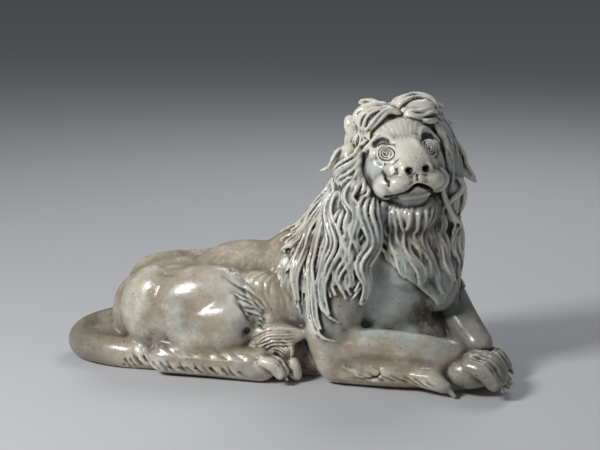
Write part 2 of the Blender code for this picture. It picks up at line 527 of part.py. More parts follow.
def mane(clay, skin):
    for i in range(CREST_LOCKS):
        share = (i + 0.5) / CREST_LOCKS
        reach = 0.88 + 0.12 * math.sin(2.4 * i)
        lock(clay, skin, from_crown(fan_line(CREST, share)), 1.7, 1.1, wave=0.7, waves=WAVES * reach,
             phase=0.9 * math.sin(9 * share), rise=0.3, reach=reach)
    for i in range(CREST_CLUMPS):
        share = (i + 0.5) / CREST_CLUMPS
        reach = 0.70 + 0.16 * math.sin(1.7 * i)
        lock(clay, skin, from_crown(fan_line(CREST, share)), 1.5, 1.2, wave=0.8, waves=WAVES * reach,
             phase=0.9 * math.sin(9 * share) + 0.2 * math.sin(2.1 * i), rise=0.8, reach=reach)
    for i in range(THROAT_LOCKS):
        share = (i + 0.5) / THROAT_LOCKS
        lock(clay, skin, fan_line(THROAT, share), 1.2, 1.0, wave=0.35, waves=2.6, phase=0.5 * share,
             rise=0.4, reach=0.86 + 0.14 * math.sin(2.1 * i))
    for width, line in SIDE_LOCKS:
        lock(clay, skin, line, width, 1.2, rise=0.7)
    for width, depth, line in LOOSE_LOCKS:
        lock(clay, skin, line, width, depth, cling=0.0)
    for width, cling, line in HEAD_LOCKS:
        lock(clay, skin, [HEAD @ Vector(p) for p in line], width, 0.9, rise=0.4, cling=cling)
    for starts, middles, ends, count, width in FRINGES:
        fringe(clay, skin, starts, middles, ends, count, width)


def skin_of(body):
    """A search tree over a body's surface."""
    return BVHTree.FromPolygons([v.co for v in body.data.vertices],
                                [p.vertices for p in body.data.polygons])


def outer_shell(clay):
    """Removes every closed surface but the largest: the voids left between lumps."""
    clay.faces.ensure_lookup_table()
    left = set(clay.faces)
    shells = []
    while left:
        front = [left.pop()]
        shell = list(front)
        while front:
            face = front.pop()
            for edge in face.edges:
                for other in edge.link_faces:
                    if other in left:
                        left.remove(other)
                        front.append(other)
                        shell.append(other)
        shells.append(shell)
    shells.sort(key=len)
    for shell in shells[:-1]:
        bmesh.ops.delete(clay, geom=shell, context="FACES")


def set_down(body, height):
    """Cuts the clay off flat at a height and keeps its outer surface."""
    clay = bmesh.new()
    clay.from_mesh(body.data)
    outer_shell(clay)
    everything = clay.verts[:] + clay.edges[:] + clay.faces[:]
    bmesh.ops.bisect_plane(clay, geom=everything, plane_co=(0, 0, height), plane_no=(0, 0, 1),
                           clear_inner=True)
    rim = [e for e in clay.edges if e.is_boundary]
    bmesh.ops.triangle_fill(clay, use_beauty=True, edges=rim, normal=(0, 0, -1))
    bmesh.ops.recalc_face_normals(clay, faces=clay.faces)
    clay.to_mesh(body.data)
    clay.free()


def facet(body, triangles):
    """Brings a skin down to a number of triangles, finer on the face."""
    body.modifiers.new("triangles", "TRIANGULATE")
    evaluated(body)
    face = HEAD @ Vector((0, 9, -2))
    group = body.vertex_groups.new(name="coarse")
    for vertex in body.data.vertices:
        group.add([vertex.index], min(1.0, (vertex.co - face).length / FACE_REACH), "REPLACE")
    facets = body.modifiers.new("facets", "DECIMATE")
    facets.ratio = triangles / len(body.data.polygons)
    facets.vertex_group = "coarse"
    facets.vertex_group_factor = 1.0
    evaluated(body)


def lion():
    clay = bmesh.new()
    hind_leg(clay, -1)
    hind_leg(clay, +1)
    forelegs(clay)
    tail(clay)
    mane_mass(clay)
    head_mass(clay)
    add_body(clay, trunk())
    body = knead(body_of("body", clay), LIMB_GRAIN, LIMB_SMOOTHING)
    skin = skin_of(body)
    clay = bmesh.new()
    head_features(clay)
    paws(clay)
    mane(clay, skin)
    add_body(clay, body)
    body = knead(body_of("body", clay), FINE_GRAIN, FINE_SMOOTHING)
    carve(body, face_lines())
    return body


def porcelain():
    glaze = bpy.data.materials.new("glazed_ceramic")
    glaze.use_nodes = True
    surface = glaze.node_tree.nodes["Principled BSDF"]
    surface.inputs["Base Color"].default_value = (0.62, 0.60, 0.55, 1)
    surface.inputs["Roughness"].default_value = 0.25
    return glaze


def centred(body):
    """Brings the clay to its length, in metres, with the middle of its underside at the origin."""
    sides = [[corner[axis] for corner in body.bound_box] for axis in range(2)]
    middle = [(min(side) + max(side)) / 2 for side in sides]
    scale = LENGTH / (max(sides[0]) - min(sides[0]))
    body.data.transform(Matrix.Scale(scale, 4) @ Matrix.Translation((-middle[0], -middle[1], 0)))


def main():
    for old in list(bpy.data.objects):
        bpy.data.objects.remove(old)
    body = lion()
    set_down(body, UNDER)
    facet(body, MOST_TRIANGLES)
    set_down(body, 0.0)
    centred(body)
    body.name = body.data.name = "lion"
    body.data.materials.append(porcelain())
    group = bpy.data.collections.new("lion_figurine")
    bpy.context.scene.collection.children.link(group)
    bpy.context.scene.collection.objects.unlink(body)
    group.objects.link(body)


main()
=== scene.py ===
"""A recumbent lion in glazed porcelain, its head turned to its right.

The one piece stands for the CAD solid of the same name. All its sizes are in centimetres until the
clay is set down in its place, in metres.
"""

import json
import math

import bmesh
import bpy
import numpy as np
from mathutils import Euler, Matrix, Vector
from mathutils.bvhtree import BVHTree

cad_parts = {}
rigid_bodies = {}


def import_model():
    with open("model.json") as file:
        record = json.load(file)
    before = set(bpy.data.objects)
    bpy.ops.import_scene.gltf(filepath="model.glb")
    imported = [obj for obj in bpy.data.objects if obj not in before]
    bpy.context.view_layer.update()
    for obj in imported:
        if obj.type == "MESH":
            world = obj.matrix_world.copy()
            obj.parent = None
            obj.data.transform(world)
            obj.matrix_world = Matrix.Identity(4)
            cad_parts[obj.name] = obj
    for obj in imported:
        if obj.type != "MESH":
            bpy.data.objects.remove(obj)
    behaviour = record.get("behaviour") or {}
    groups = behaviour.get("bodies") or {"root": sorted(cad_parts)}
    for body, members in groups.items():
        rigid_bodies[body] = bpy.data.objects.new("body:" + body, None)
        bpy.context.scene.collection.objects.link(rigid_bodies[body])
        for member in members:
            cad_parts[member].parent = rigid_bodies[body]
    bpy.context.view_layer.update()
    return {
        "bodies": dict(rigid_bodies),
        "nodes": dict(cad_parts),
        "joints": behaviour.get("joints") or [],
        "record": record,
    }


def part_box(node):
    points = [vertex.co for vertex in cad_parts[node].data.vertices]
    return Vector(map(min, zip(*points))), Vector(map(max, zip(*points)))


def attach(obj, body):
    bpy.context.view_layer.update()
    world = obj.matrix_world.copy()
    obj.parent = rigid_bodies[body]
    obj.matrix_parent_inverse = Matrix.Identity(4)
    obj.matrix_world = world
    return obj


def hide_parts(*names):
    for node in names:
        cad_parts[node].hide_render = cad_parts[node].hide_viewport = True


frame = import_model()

# THE TRUNK
# The barrel of the body, from the rump to the breast, with the thick neck rising from it. The real one
# is pressed porcelain clay, smoothed by thumb, so overlapping lumps are run together here the same way.

TRUNK_GRAIN, TRUNK_SMOOTHING = 0.75, 14
TRUNK = (
    # centre, radii and turn of each mass
    ((-21.5, 0, 9.3), (13.8, 9, 10.6), (0, 0, 0)),
    ((-9, 0, 11), (15, 9, 12.6), (0, -4, 0)),
    ((3.5, 0, 13.5), (13, 10, 13.6), (0, -8, 0)),
    ((14, 0, 17), (12, 10, 14), (0, 0, 0)),
    ((-6, 0, 3), (26, 10, 7), (0, 0, 0)),
    ((15, 0, 6), (14, 8.5, 8), (0, 0, 0)),
    ((-24, -4.5, 14.4), (6.5, 3.6, 4), (0, 0, 0)),
    ((-24, 4.5, 13.6), (6.5, 3.6, 4), (0, 0, 0)),
)


def smooth_path(points, steps=6):
    """Rows of numbers interpolated by a Catmull-Rom curve through every given row."""
    rows = [list(p) for p in points]
    rows = [rows[0]] + rows + [rows[-1]]
    out = []
    for i in range(1, len(rows) - 2):
        for k in range(steps):
            t = k / steps
            a, b, c, d = rows[i - 1 : i + 3]
            out.append([
                0.5 * (2 * q + (r - p) * t + (2 * p - 5 * q + 4 * r - s) * t**2
                       + (3 * q - p - 3 * r + s) * t**3)
                for p, q, r, s in zip(a, b, c, d)
            ])
    out.append(rows[-2])
    return out


bpy.ops.object.select_all(action="DESELECT")
bpy.ops.mesh.primitive_uv_sphere_add(segments=48, ring_count=32, radius=1.0)
ball = bpy.context.object
ball_corners = [v.co.copy() for v in ball.data.vertices]
ball_faces = [tuple(p.vertices) for p in ball.data.polygons]
bpy.data.objects.remove(ball)


def lump(clay, centre, radii, turn=(0, 0, 0), frame=Matrix.Identity(4)):
    """An ellipsoid of clay, turned by Euler angles in degrees, in its own frame."""
    angles = Euler([math.radians(a) for a in turn])
    place = frame @ Matrix.LocRotScale(Vector(centre), angles, Vector(radii))
    corners = [clay.verts.new(place @ co) for co in ball_corners]
    for face in ball_faces:
        clay.faces.new([corners[k] for k in face])


# the angles, from the tip on, at which the rings of a limb's round end lie
END_ANGLES = (80, 55, 28)


def limb(clay, points, outward=(0, 0, 1), flat=1.0, frame=Matrix.Identity(4), sides=24):
    """A round-ended limb through rows of (x, y, z, radius). flat is its depth over its width."""
    rows = smooth_path(points)
    path = [frame @ Vector(r[:3]) for r in rows]
    radii = [r[3] for r in rows]
    start = (path[0] - path[1]).normalized()
    end = (path[-1] - path[-2]).normalized()
    cap = [math.radians(a) for a in END_ANGLES]
    head = [(path[0] + start * radii[0] * math.sin(a), radii[0] * math.cos(a)) for a in cap]
    foot = [(path[-1] + end * radii[-1] * math.sin(a), radii[-1] * math.cos(a)) for a in reversed(cap)]
    path = [p for p, _ in head] + path + [p for p, _ in foot]
    radii = [r for _, r in head] + radii + [r for _, r in foot]
    up = frame.to_3x3() @ Vector(outward)
    rings = []
    for i, place in enumerate(path):
        ahead = (path[min(i + 1, len(path) - 1)] - path[max(i - 1, 0)]).normalized()
        out = (up - ahead * up.dot(ahead)).normalized()
        across = ahead.cross(out)
        ring = []
        for k in range(sides):
            angle = 2 * math.pi * k / sides
            offset = across * math.cos(angle) + out * (flat * math.sin(angle))
            ring.append(clay.verts.new(place + offset * radii[i]))
        rings.append(ring)
    for a, b in zip(rings, rings[1:]):
        for k in range(sides):
            n = (k + 1) % sides
            clay.faces.new((a[k], a[n], b[n], b[k]))
    clay.faces.new(reversed(rings[0]))
    clay.faces.new(rings[-1])


def body_of(name, clay):
    """A mesh object from loose clay, alone in the selection."""
    mesh = bpy.data.meshes.new(name)
    bmesh.ops.recalc_face_normals(clay, faces=clay.faces)
    clay.to_mesh(mesh)
    clay.free()
    body = bpy.data.objects.new(name, mesh)
    bpy.context.scene.collection.objects.link(body)
    bpy.ops.object.select_all(action="DESELECT")
    body.select_set(True)
    bpy.context.view_layer.objects.active = body
    return body


def knead(body, grain, smoothing):
    """Runs overlapping lumps together into one skin and smooths the joins."""
    remesh = body.modifiers.new("clay", "REMESH")
    remesh.mode = "VOXEL"
    remesh.voxel_size = grain
    bpy.ops.object.modifier_apply(modifier="clay")
    if smoothing:
        smooth = body.modifiers.new("thumb", "SMOOTH")
        smooth.factor = 0.5
        smooth.iterations = smoothing
        bpy.ops.object.modifier_apply(modifier="thumb")
    return body


def add_body(clay, body):
    """Puts a finished skin back among loose clay."""
    clay.from_mesh(body.data)
    bpy.data.objects.remove(body)


clay = bmesh.new()
for centre, radii, turn in TRUNK:
    lump(clay, centre, radii, turn)
limb(clay, ((11, 0, 22, 9), (16, -0.5, 31, 7), (18, -1.5, 38, 6.5)))
trunk = knead(body_of("trunk", clay), TRUNK_GRAIN, TRUNK_SMOOTHING)

# THE LEGS AND THE TAIL
# Two folded hind legs, the right foreleg along the ground in full view, the left one crossing in front
# of the breast, and the tail curled under the right thigh, all built up in the same clay as the body.

# where each paw stands, for the strokes and stains that go on it later
paws = []


def paw(clay, place, heading, size):
    """A paw with four toes and their claws. heading turns it to the left, in degrees."""
    frame = Matrix.LocRotScale(Vector(place), Euler((0, 0, math.radians(heading))), Vector((size,) * 3))
    paws.append(frame)
    lump(clay, (0, 0, 0.2), (4.2, 3.9, 2.9), frame=frame)
    for k in range(4):
        aside = 2.0 * (k - 1.5)
        reach = 5.6 - 0.45 * abs(k - 1.3)
        limb(clay, (
            (0.5, 0.8 * aside, 1.3, 1.5 * size), (reach - 2.2, 1.02 * aside, 0.9, 1.45 * size),
            (reach - 0.4, 1.1 * aside, -0.8, 1.1 * size),
        ), frame=frame)
        limb(clay, (
            (reach, 1.1 * aside, -0.7, 0.55 * size), (reach + 1.1, 1.12 * aside, -1.9, 0.2 * size),
        ), frame=frame)


limbs = bmesh.new()
for y in (-1, 1):
    # haunch, knee, the fold before it, shank and foot
    lump(limbs, (-17, 7.8 * y, 10.6), (12.8, 6, 9.4), (0, -16, 0))
    limb(limbs, ((-15, 9 * y, 10, 5.5), (-10.5, 10 * y, 11, 5)))
    lump(limbs, (-4, 9.5 * y, 6.5), (6.5, 2.8, 5.5))
    limb(limbs, ((-10.5, 10.5 * y, 9, 4.5), (-18, 11 * y, 5.5, 3.6)))
    limb(limbs, ((-22.5, 12 * y, 3.4, 3.2), (-12, 12.2 * y, 3.2, 3.2), (-4, 12.4 * y, 3, 3.3)), flat=0.95)

# right foreleg and its dew claw
limb(limbs, ((11, -6.5, 20, 6.5), (9, -9, 11, 5.4), (9.8, -10.5, 5, 4.4)))
limb(limbs, ((9.8, -10.5, 6.4, 4.2), (20, -11.3, 6.9, 3.7), (31, -11.6, 6.4, 3.3)))
limb(limbs, ((9.8, -11, 3.4, 3.2), (20, -11.8, 3.6, 3.3), (29, -12, 3.4, 2.8)))
limb(limbs, ((24, -13.2, 3.2, 1.9), (28.2, -14.6, 2.8, 1.9), (30.6, -15.4, 1.9, 1.3)))

# left foreleg
limb(limbs, ((14, 6, 20, 6.5), (11, 10, 11, 5.2), (12, 11, 5, 4.2)))
limb(limbs, ((12, 11, 4.8, 4.2), (23, 8, 5.2, 4), (32, 0, 5, 3.6)))
limb(limbs, ((26, 5, 17, 4), (30.5, 2.5, 10.5, 3.4), (35, -2.5, 6.4, 2.8)))

# tail, with its root and the rump over it
limb(limbs, (
    (-33, 1, 6, 3.8), (-40.4, -0.5, 3.8, 3.5), (-40, -5, 3, 3.1), (-32, -8.5, 2.6, 2.9),
    (-20, -9, 2.6, 2.5), (-8, -9.5, 3.5, 2.4), (-2, -9.5, 5.5, 3.2),
))
lump(limbs, (-36, -3.4, 3), (5.6, 4.6, 3.7))
for y in (-1, 1):
    # the rump and the thighs run together
    lump(limbs, (-25, 6.6 * y, 11), (7.4, 5.6, 8.4))
    lump(limbs, (-21, 6.4 * y, 14.4), (7, 4.4, 5.4))
lump(limbs, (-26, 3, 12.4), (8.2, 6, 7.4))
lump(limbs, (-27, 0, 9), (9, 8.6, 8.6))
for y in (-1, 1):
    # the fan of hair over the knee and the tuft of the tail under it
    limb(limbs, ((-11.4, 8.0 * y, 17.2, 1.8), (-7.6, 9.7 * y, 15, 2.4), (-3.4, 10.6 * y, 11.4, 1.5)),
         outward=(0, y, 0), flat=0.6)
    limb(limbs, ((-6.8, 11.2 * y, 5.4, 1.4), (-2.2, 11.6 * y, 8, 2.2), (2.6, 10.8 * y, 8.6, 1.5)),
         outward=(0, y, 0), flat=0.6)
    limb(limbs, ((-1.6, 11.6 * y, 7.6, 1.6), (0.9, 11.9 * y, 5.8, 1.5), (0.6, 11.9 * y, 3.4, 1)),
         outward=(0, y, 0), flat=0.7)
    # shoulder and ribs
    lump(limbs, (8.5, 6.5 * y, 14), (7.5, 5, 9.5))
    lump(limbs, (-5.5, 7.4 * y, 12), (8.5, 3.6, 7.5))

# THE SKULL
# The bare head under the hair, a ball of clay on the neck with the muzzle, cheeks and jaw pressed on.
# It has its own axes: X to the lion's right, Y out of the face, Z up, from the middle of the skull.

HEAD_PLACE = (19.2, -2, 40.6)
# degrees: turned to the right, chin lifted, and tipped to one side
HEAD_TURN, HEAD_LIFT, HEAD_ROLL = 64, 15, 5
HEAD = (
    Matrix.Translation(HEAD_PLACE)
    @ Matrix.Rotation(math.radians(270 - HEAD_TURN), 4, "Z")
    @ Matrix.Rotation(math.radians(HEAD_LIFT), 4, "X")
    @ Matrix.Rotation(math.radians(HEAD_ROLL), 4, "Y")
)
SKULL_GRAIN, SKULL_SMOOTHING = 0.45, 10
# how far below the ground the skin goes on, so that its edge is cut away later
SKIN_FLOOR = -0.8
SKULL = (
    # centre and radii of dome, crown, brow, muzzle, jaw and throat
    ((0, -1, 2), (7, 7.4, 7.4)),
    ((-1, 0.2, 5), (7, 6, 4.6)),
    ((0, 4, 3.6), (5.6, 3.6, 3.6)),
    ((0, 6.8, -4.6), (4.9, 4.4, 3.3)),
    ((0, 3.8, -7.6), (3.9, 3.8, 2.8)),
    ((0, 1.8, -10.2), (4.6, 4.4, 3.6)),
)
CROWN_BULK = (
    # centre and radii of the bulk of the hair on the crown and beside the left cheek
    ((-4, 1.6, 7.8), (4.2, 2.8, 2.2)),
    ((4, 1.8, 7.6), (3, 2.6, 2)),
    ((-4, 3.6, 8.2), (3.8, 2.2, 1.9)),
    ((3.4, 3.8, 7), (3.2, 2, 1.7)),
    ((-3.6, 4.6, 7.2), (3.4, 1.8, 1.5)),
    ((0.3, -0.6, 8.2), (3.6, 3.2, 1.9)),
    ((-9, 0.6, -3), (2.2, 2.6, 7.5)),
)
SIDE_BULK = (
    # and at the temples and cheeks
    ((-8, 0.6, 4.4), (2.6, 2.6, 3.4)),
    ((9, 0.8, -1), (2.4, 2.6, 5)),
    ((-8.4, 1.4, -4.5), (1.9, 2.2, 8.5)),
)

for centre, radii in SKULL:
    lump(limbs, centre, radii, frame=HEAD)
# the bridge of the nose, then the cheeks and the planes beside it
limb(limbs, ((0, 5.2, 3.8, 2.7), (0, 7.9, 1.4, 2.7), (0, 9.8, -0.8, 3)), outward=(0, 1, 1), flat=0.48,
     frame=HEAD)
for side in (-1, 1):
    lump(limbs, (4.8 * side, 3.8, -2.2), (2.7, 3.6, 4.8), frame=HEAD)
    limb(limbs, ((2.4 * side, 6.2, 0.6, 1.9), (3.0 * side, 7.6, -3, 2.2)), frame=HEAD)
for centre, radii in CROWN_BULK:
    lump(limbs, centre, radii, frame=HEAD)
limb(limbs, ((-8.4, 1.8, -3, 1.3), (-8, 1.2, -8, 1.4), (-7.4, 0.2, -12, 1.3)), frame=HEAD)
for centre, radii in SIDE_BULK:
    lump(limbs, centre, radii, frame=HEAD)
# the body of the mane down the shoulders, the neck and the breast
limb(limbs, ((16, -5.5, 38, 4.6), (12.8, -6.5, 28, 5.6), (10.5, -8, 17, 5.4)))
limb(limbs, ((22.4, 3.5, 38, 4.6), (23.2, 5, 28, 5.2), (24.4, 4.5, 18, 5)))
limb(limbs, ((16.8, 1, 44, 4.5), (15.4, 1, 37, 5.2), (12.2, 0.5, 29, 7), (6.5, 0, 22, 7.5)))
limb(limbs, ((18, 3.5, 38, 5), (17.5, 5, 29, 5.8), (16, 5.5, 20, 6)))
limb(limbs, ((21.5, -3.5, 32, 5), (20.5, -3.5, 22, 6.4)))
limb(limbs, ((25.4, -1, 33, 3.4), (26.4, -1.2, 24, 4.4), (26.6, -0.6, 16, 4.2)))
add_body(limbs, trunk)


def outer_shell(clay):
    """Removes every closed surface but the largest: the voids left between lumps."""
    left = dict.fromkeys(clay.faces)
    shells = []
    while left:
        front = [left.popitem()[0]]
        shell = list(front)
        while front:
            one = front.pop()
            for edge in one.edges:
                for other in edge.link_faces:
                    if other in left:
                        del left[other]
                        front.append(other)
                        shell.append(other)
        shells.append(shell)
    shells.sort(key=len)
    for shell in shells[:-1]:
        bmesh.ops.delete(clay, geom=shell, context="FACES")


def set_down(body, height):
    """Cuts the clay off flat at a height and keeps its outer surface."""
    clay = bmesh.new()
    clay.from_mesh(body.data)
    outer_shell(clay)
    everything = clay.verts[:] + clay.edges[:] + clay.faces[:]
    bmesh.ops.bisect_plane(clay, geom=everything, plane_co=(0, 0, height), plane_no=(0, 0, 1),
                           clear_inner=True)
    rim = [e for e in clay.edges if e.is_boundary]
    bmesh.ops.triangle_fill(clay, use_beauty=True, edges=rim, normal=(0, 0, -1))
    bmesh.ops.recalc_face_normals(clay, faces=clay.faces)
    clay.to_mesh(body.data)
    clay.free()


def surface_of(body):
    """The skin of a body, to ask where its nearest place is."""
    return BVHTree.FromPolygons([v.co for v in body.data.vertices],
                                [p.vertices for p in body.data.polygons])


skin_body = knead(body_of("skin", limbs), SKULL_GRAIN, SKULL_SMOOTHING)
set_down(skin_body, SKIN_FLOOR)
skin = surface_of(skin_body)

# THE FACE
# Nose, muzzle pads, lips, brows, eyelids and ears: small pellets of the same clay, pressed on the skull
# and smoothed into it while it was soft. Eyeballs and paws go on last, and so stay crisp.

EYE = Vector((4.2, 6, 0.7))
EYE_RADIUS = 1.75
FACE_GRAIN, FACE_SMOOTHING = 0.30, 4

face = bmesh.new()
# nose with its two wings, lower lip and chin
lump(face, (0.1, 9.4, -2), (3.3, 2.2, 1.3), (-14, 0, 0), frame=HEAD)
lump(face, (2.1, 9.8, -1.8), (1.4, 1.5, 1), frame=HEAD)
lump(face, (-1.8, 9.8, -1.7), (1.4, 1.5, 1), frame=HEAD)
lump(face, (-0.1, 7.3, -7.4), (3.1, 1.7, 0.85), frame=HEAD)
lump(face, (0.1, 4.8, -8.6), (3.1, 2.4, 1.4), frame=HEAD)
for side in (-1, 1):
    # nostril, muzzle pads, brow, eyelids and ear
    lump(face, (1.8 * side, 10.3, -2.9), (1.5, 1.4, 1.1), frame=HEAD)
    lump(face, (2.5 * side, 8.4, -4.9), (3.2, 2.8, 2.1), (0, 12 * side, 0), frame=HEAD)
    lump(face, (4.6 * side, 6.4, -5), (2.4, 3, 2.4), frame=HEAD)
    limb(face, ((7.6 * side, 3.2, 1.2, 0.35), (6.4 * side, 4.6, 2.5, 0.45), (4.4 * side, 5.8, 4.1, 0.5),
                (3.4 * side, 6.4, 4, 0.5), (2.3 * side, 7.3, 2.2, 0.4)), frame=HEAD)
    lump(face, (EYE.x * side, EYE.y - 0.6, EYE.z), (2.5, 1.7, 2.1), frame=HEAD)
    lump(face, (6.9 * side, -1.2, 6.2), (1.5, 1.4, 2.9), (0, 14 * side, 0), frame=HEAD)
add_body(face, skin_body)
head_body = knead(body_of("head", face), FACE_GRAIN, FACE_SMOOTHING)

features = bmesh.new()
for y in (-1, 1):
    paw(features, (-3.6, 12.4 * y, 3), 0, 0.86)
paw(features, (34.5, -12.2, 4.2), -6, 1.12)
paw(features, (35, -3.6, 3.4), -28, 0.95)
# the dew claw, and the inner toe of the right hind foot
limb(features, ((30.6, -15.5, 1.9, 0.7), (32.4, -16.2, 0.5, 0.25)))
limb(features, ((0.4, -11.6, 4.6, 0.9), (2, -12, 3.4, 1.2), (2.6, -12, 1.4, 1)))
for side in (-1, 1):
    lump(features, (EYE.x * side, EYE.y, EYE.z), (EYE_RADIUS, EYE_RADIUS, EYE_RADIUS * 0.95), frame=HEAD)

# THE MANE
# Long waving locks of clay, each a bundle of rounded strands laid on the soft body and drawn to one
# point. A ring of key lines round the neck is blended into locks of many lengths, in two layers.

CREST = (
    # from beside the right cheek, round behind the neck, to the left cheek
    ((12.8, -5.2, 45.2), (13.6, -8, 40.5), (15.6, -10, 34), (16, -11, 29), (15.4, -12, 23),
     (15, -12, 16)),
    ((11.9, -3.8, 46), (12, -7, 39.5), (12.6, -10.5, 34), (12.8, -11.5, 28), (12.2, -12, 22),
     (12.4, -12, 15)),
    ((11.6, -2.2, 46), (10.6, -5, 39), (9.4, -9, 33.5), (9.2, -10.5, 27), (8.4, -12, 20),
     (9, -12.5, 13)),
    ((11.6, -0.8, 46), (10.2, -3, 39), (7.6, -7, 34), (6, -9.5, 28), (5.2, -11, 21),
     (7.4, -12, 11)),
    ((12, 1, 46), (10.4, 0, 39.5), (7.2, -3, 34.5), (4.4, -6, 30), (2.2, -8.5, 24),
     (2.4, -10, 15)),
    ((12.4, 2, 46), (11, 1.6, 39.5), (8, 0, 34.8), (3.6, -2, 31), (-0.4, -5, 27),
     (-3, -7, 22.5)),
    ((13, 3, 46), (12, 3, 39), (9, 3, 34), (4.5, 4, 29.5), (0, 4, 26.5), (-3.5, 5, 24)),
    ((14.5, 5, 46), (14, 6, 39), (11, 9, 32), (7.5, 11, 25), (5, 12, 18), (6, 12, 11)),
    ((18, 6, 46), (18.5, 8, 39), (17.5, 10, 31), (16, 11, 25), (14, 12, 18),
     (13, 12, 11)),
    ((22, 5, 46), (23.5, 7, 38), (24.5, 9, 30), (24, 10, 23), (23, 10, 16),
     (23, 10, 10)),
    ((25.5, 3, 45), (27, 5, 38), (28.5, 6, 30), (29, 6, 23), (29, 5, 16), (31, 2, 9)),
    ((26.5, 0, 44), (27.5, -1, 38), (28, -2.5, 32.5), (28.6, -3, 28), (29.4, -3, 24),
     (30.4, -2.5, 19)),
)
THROAT = (
    # from under the right corner of the mouth to under the left
    ((17.6, -9.5, 34.2), (17.2, -10.5, 31.5), (17.6, -11, 29), (18.2, -11, 27), (18.6, -11, 25),
     (18.9, -11, 23)),
    ((19.5, -9, 34), (19.4, -9.6, 31.3), (19.9, -10, 27), (21, -10, 24), (22.6, -9, 21),
     (24.7, -8, 17.6)),
    ((22.8, -8, 34), (22.7, -8.4, 31), (23, -8.4, 27), (24.4, -8, 23), (26.6, -7, 18),
     (29, -5.6, 10)),
    ((25.5, -6, 34.5), (25.6, -7, 31), (26.2, -7, 27.5), (27.6, -6.4, 24), (29.2, -5.4, 20.5),
     (30.2, -4, 16)),
    ((27.4, -3, 35), (27.8, -4, 31), (28.4, -4.4, 27.5), (29.2, -4.2, 24), (30, -3.6, 20.5),
     (30.6, -3, 16)),
)
# The lines of the crest spring from the crown of the head.
CROWN = HEAD @ Vector((0.5, -1, 9.2))

CREST_STRANDS, CREST_LOCKS = 92, 38
THROAT_STRANDS, THROAT_LOCKS = 26, 14
SIDE_PAIRS = 15
# waves of the hair from the crown to the end of the longest lock, which is drawn through 8 points
WAVES, CREST_POINTS = 4.4, 8
# places across the ring where the hair of the cheeks hides the roots
RIGHT_CHEEK_ENDS, LEFT_CHEEK_STARTS = 0.2, 0.92
STRAND_SIDES = 3


def fan_line(fan, share):
    """The line at a place from 0 to 1 across a fan of key lines."""
    place = share * (len(fan) - 1)
    i = min(int(place), len(fan) - 2)
    return [Vector(a).lerp(Vector(b), place - i) for a, b in zip(fan[i], fan[i + 1])]


def from_crown(line):
    """The line with its root carried back to the crown."""
    return [CROWN.lerp(line[0], 0.08), CROWN.lerp(line[0], 0.55)] + line


def crest_line(share):
    """A line of the crest: beside the cheeks it comes out from under the hair of the cheek."""
    line = fan_line(CREST, share)
    if share < RIGHT_CHEEK_ENDS:
        return line[2:]
    return line[1:] if share > LEFT_CHEEK_STARTS else from_crown(line)


def strand(path, radii):
    """One round strand of the hair."""
    spline = hair.splines.new("POLY")
    spline.points.add(len(path) - 1)
    for point, place, radius in zip(spline.points, path, radii):
        point.co = (*place, 1)
        point.radius = radius


def lock(line, width, depth, strands=4, wave=0.0, waves=2.0, phase=0.0, rise=0.3, reach=1.0,
         cling=1.0, hook=0.0):
    """A lock along a line: strands side by side over a core, waving together to one tip.

    cling is how closely it is laid on the skin: 1 follows it, 0 leaves the line free. A lock of one
    strand has no core. hook is how far the tip turns aside.
    """
    rows = [Vector(p) for p in smooth_path(line)]
    rows = rows[: max(4, round(len(rows) * reach))]
    count = len(rows) - 1
    gone = [0.0]
    for start, end in zip(rows, rows[1:]):
        gone.append(gone[-1] + (end - start).length)
    for k in range(0 if strands == 1 else -1, strands):
        core = k < 0
        aside = 0 if core else 2 * (k + 0.5) / strands - 1
        shorter = 0 if core else 0.10 * math.sin(5 * k + 9 * phase) ** 2
        path, radii = [], []
        for i, place in enumerate(rows):
            t = gone[i] / gone[-1]
            if t > 1 - shorter and i > 3:
                break
            _, normal, _, _ = skin.find_nearest(place)
            ahead = (rows[min(i + 1, count)] - rows[max(i - 1, 0)]).normalized()
            across = ahead.cross(normal).normalized()
            root = min(1, gone[i] / (1.5 * width))
            taper = (0.35 + 0.65 * root) * (1 - t**3) ** 0.8 + 0.06
            sway = wave * min(1, 3 * t) * math.sin(2 * math.pi * (waves * t + phase) + 0.5 * aside)
            sway += hook * width * max(0, (t - 0.8) / 0.2) ** 2
            place = place + across * (sway + 0.82 * width * taper * aside)
            foot, normal, _, _ = skin.find_nearest(place)
            uneven = 0.12 * math.sin(3 * k + 11 * phase + 9 * t)
            over = depth * (uneven + 0.5 * math.sqrt(1 - aside**2))
            thick = 0.92 * width * taper / strands
            if core:
                over, thick = -0.45 * width, 0.62 * width * taper
            free = place + normal * taper * (over - 0.4 * depth)
            laid = foot + normal * (taper * (over + depth * rise) - 0.6 * (1 - root) * width)
            path.append(free.lerp(laid, cling))
            radii.append(thick)
        path = [(a + b * 2 + c) / 4 for a, b, c in zip(path[:1] + path, path, path[1:] + path[-1:])]
        strand(path, radii)


hair = bpy.data.curves.new("hair", "CURVE")
hair.dimensions = "3D"
hair.bevel_depth = 1.0
hair.bevel_resolution = STRAND_SIDES
hair.use_fill_caps = True


def waving(share):
    """Where in its wave the hair stands at a place across the crest: neighbours wave together."""
    return 0.9 * math.sin(9 * share)


def even_shares(fan, count):
    """Places across a fan that lie evenly spaced over the skin, half way down its lines."""
    rows = [fan_line(fan, k / 200)[3] for k in range(201)]
    gone = np.cumsum([0] + [(b - a).length for a, b in zip(rows, rows[1:])])
    shares = np.linspace(0, 1, len(rows))
    return [float(np.interp((i + 0.5) / count * gone[-1], gone, shares)) for i in range(count)]


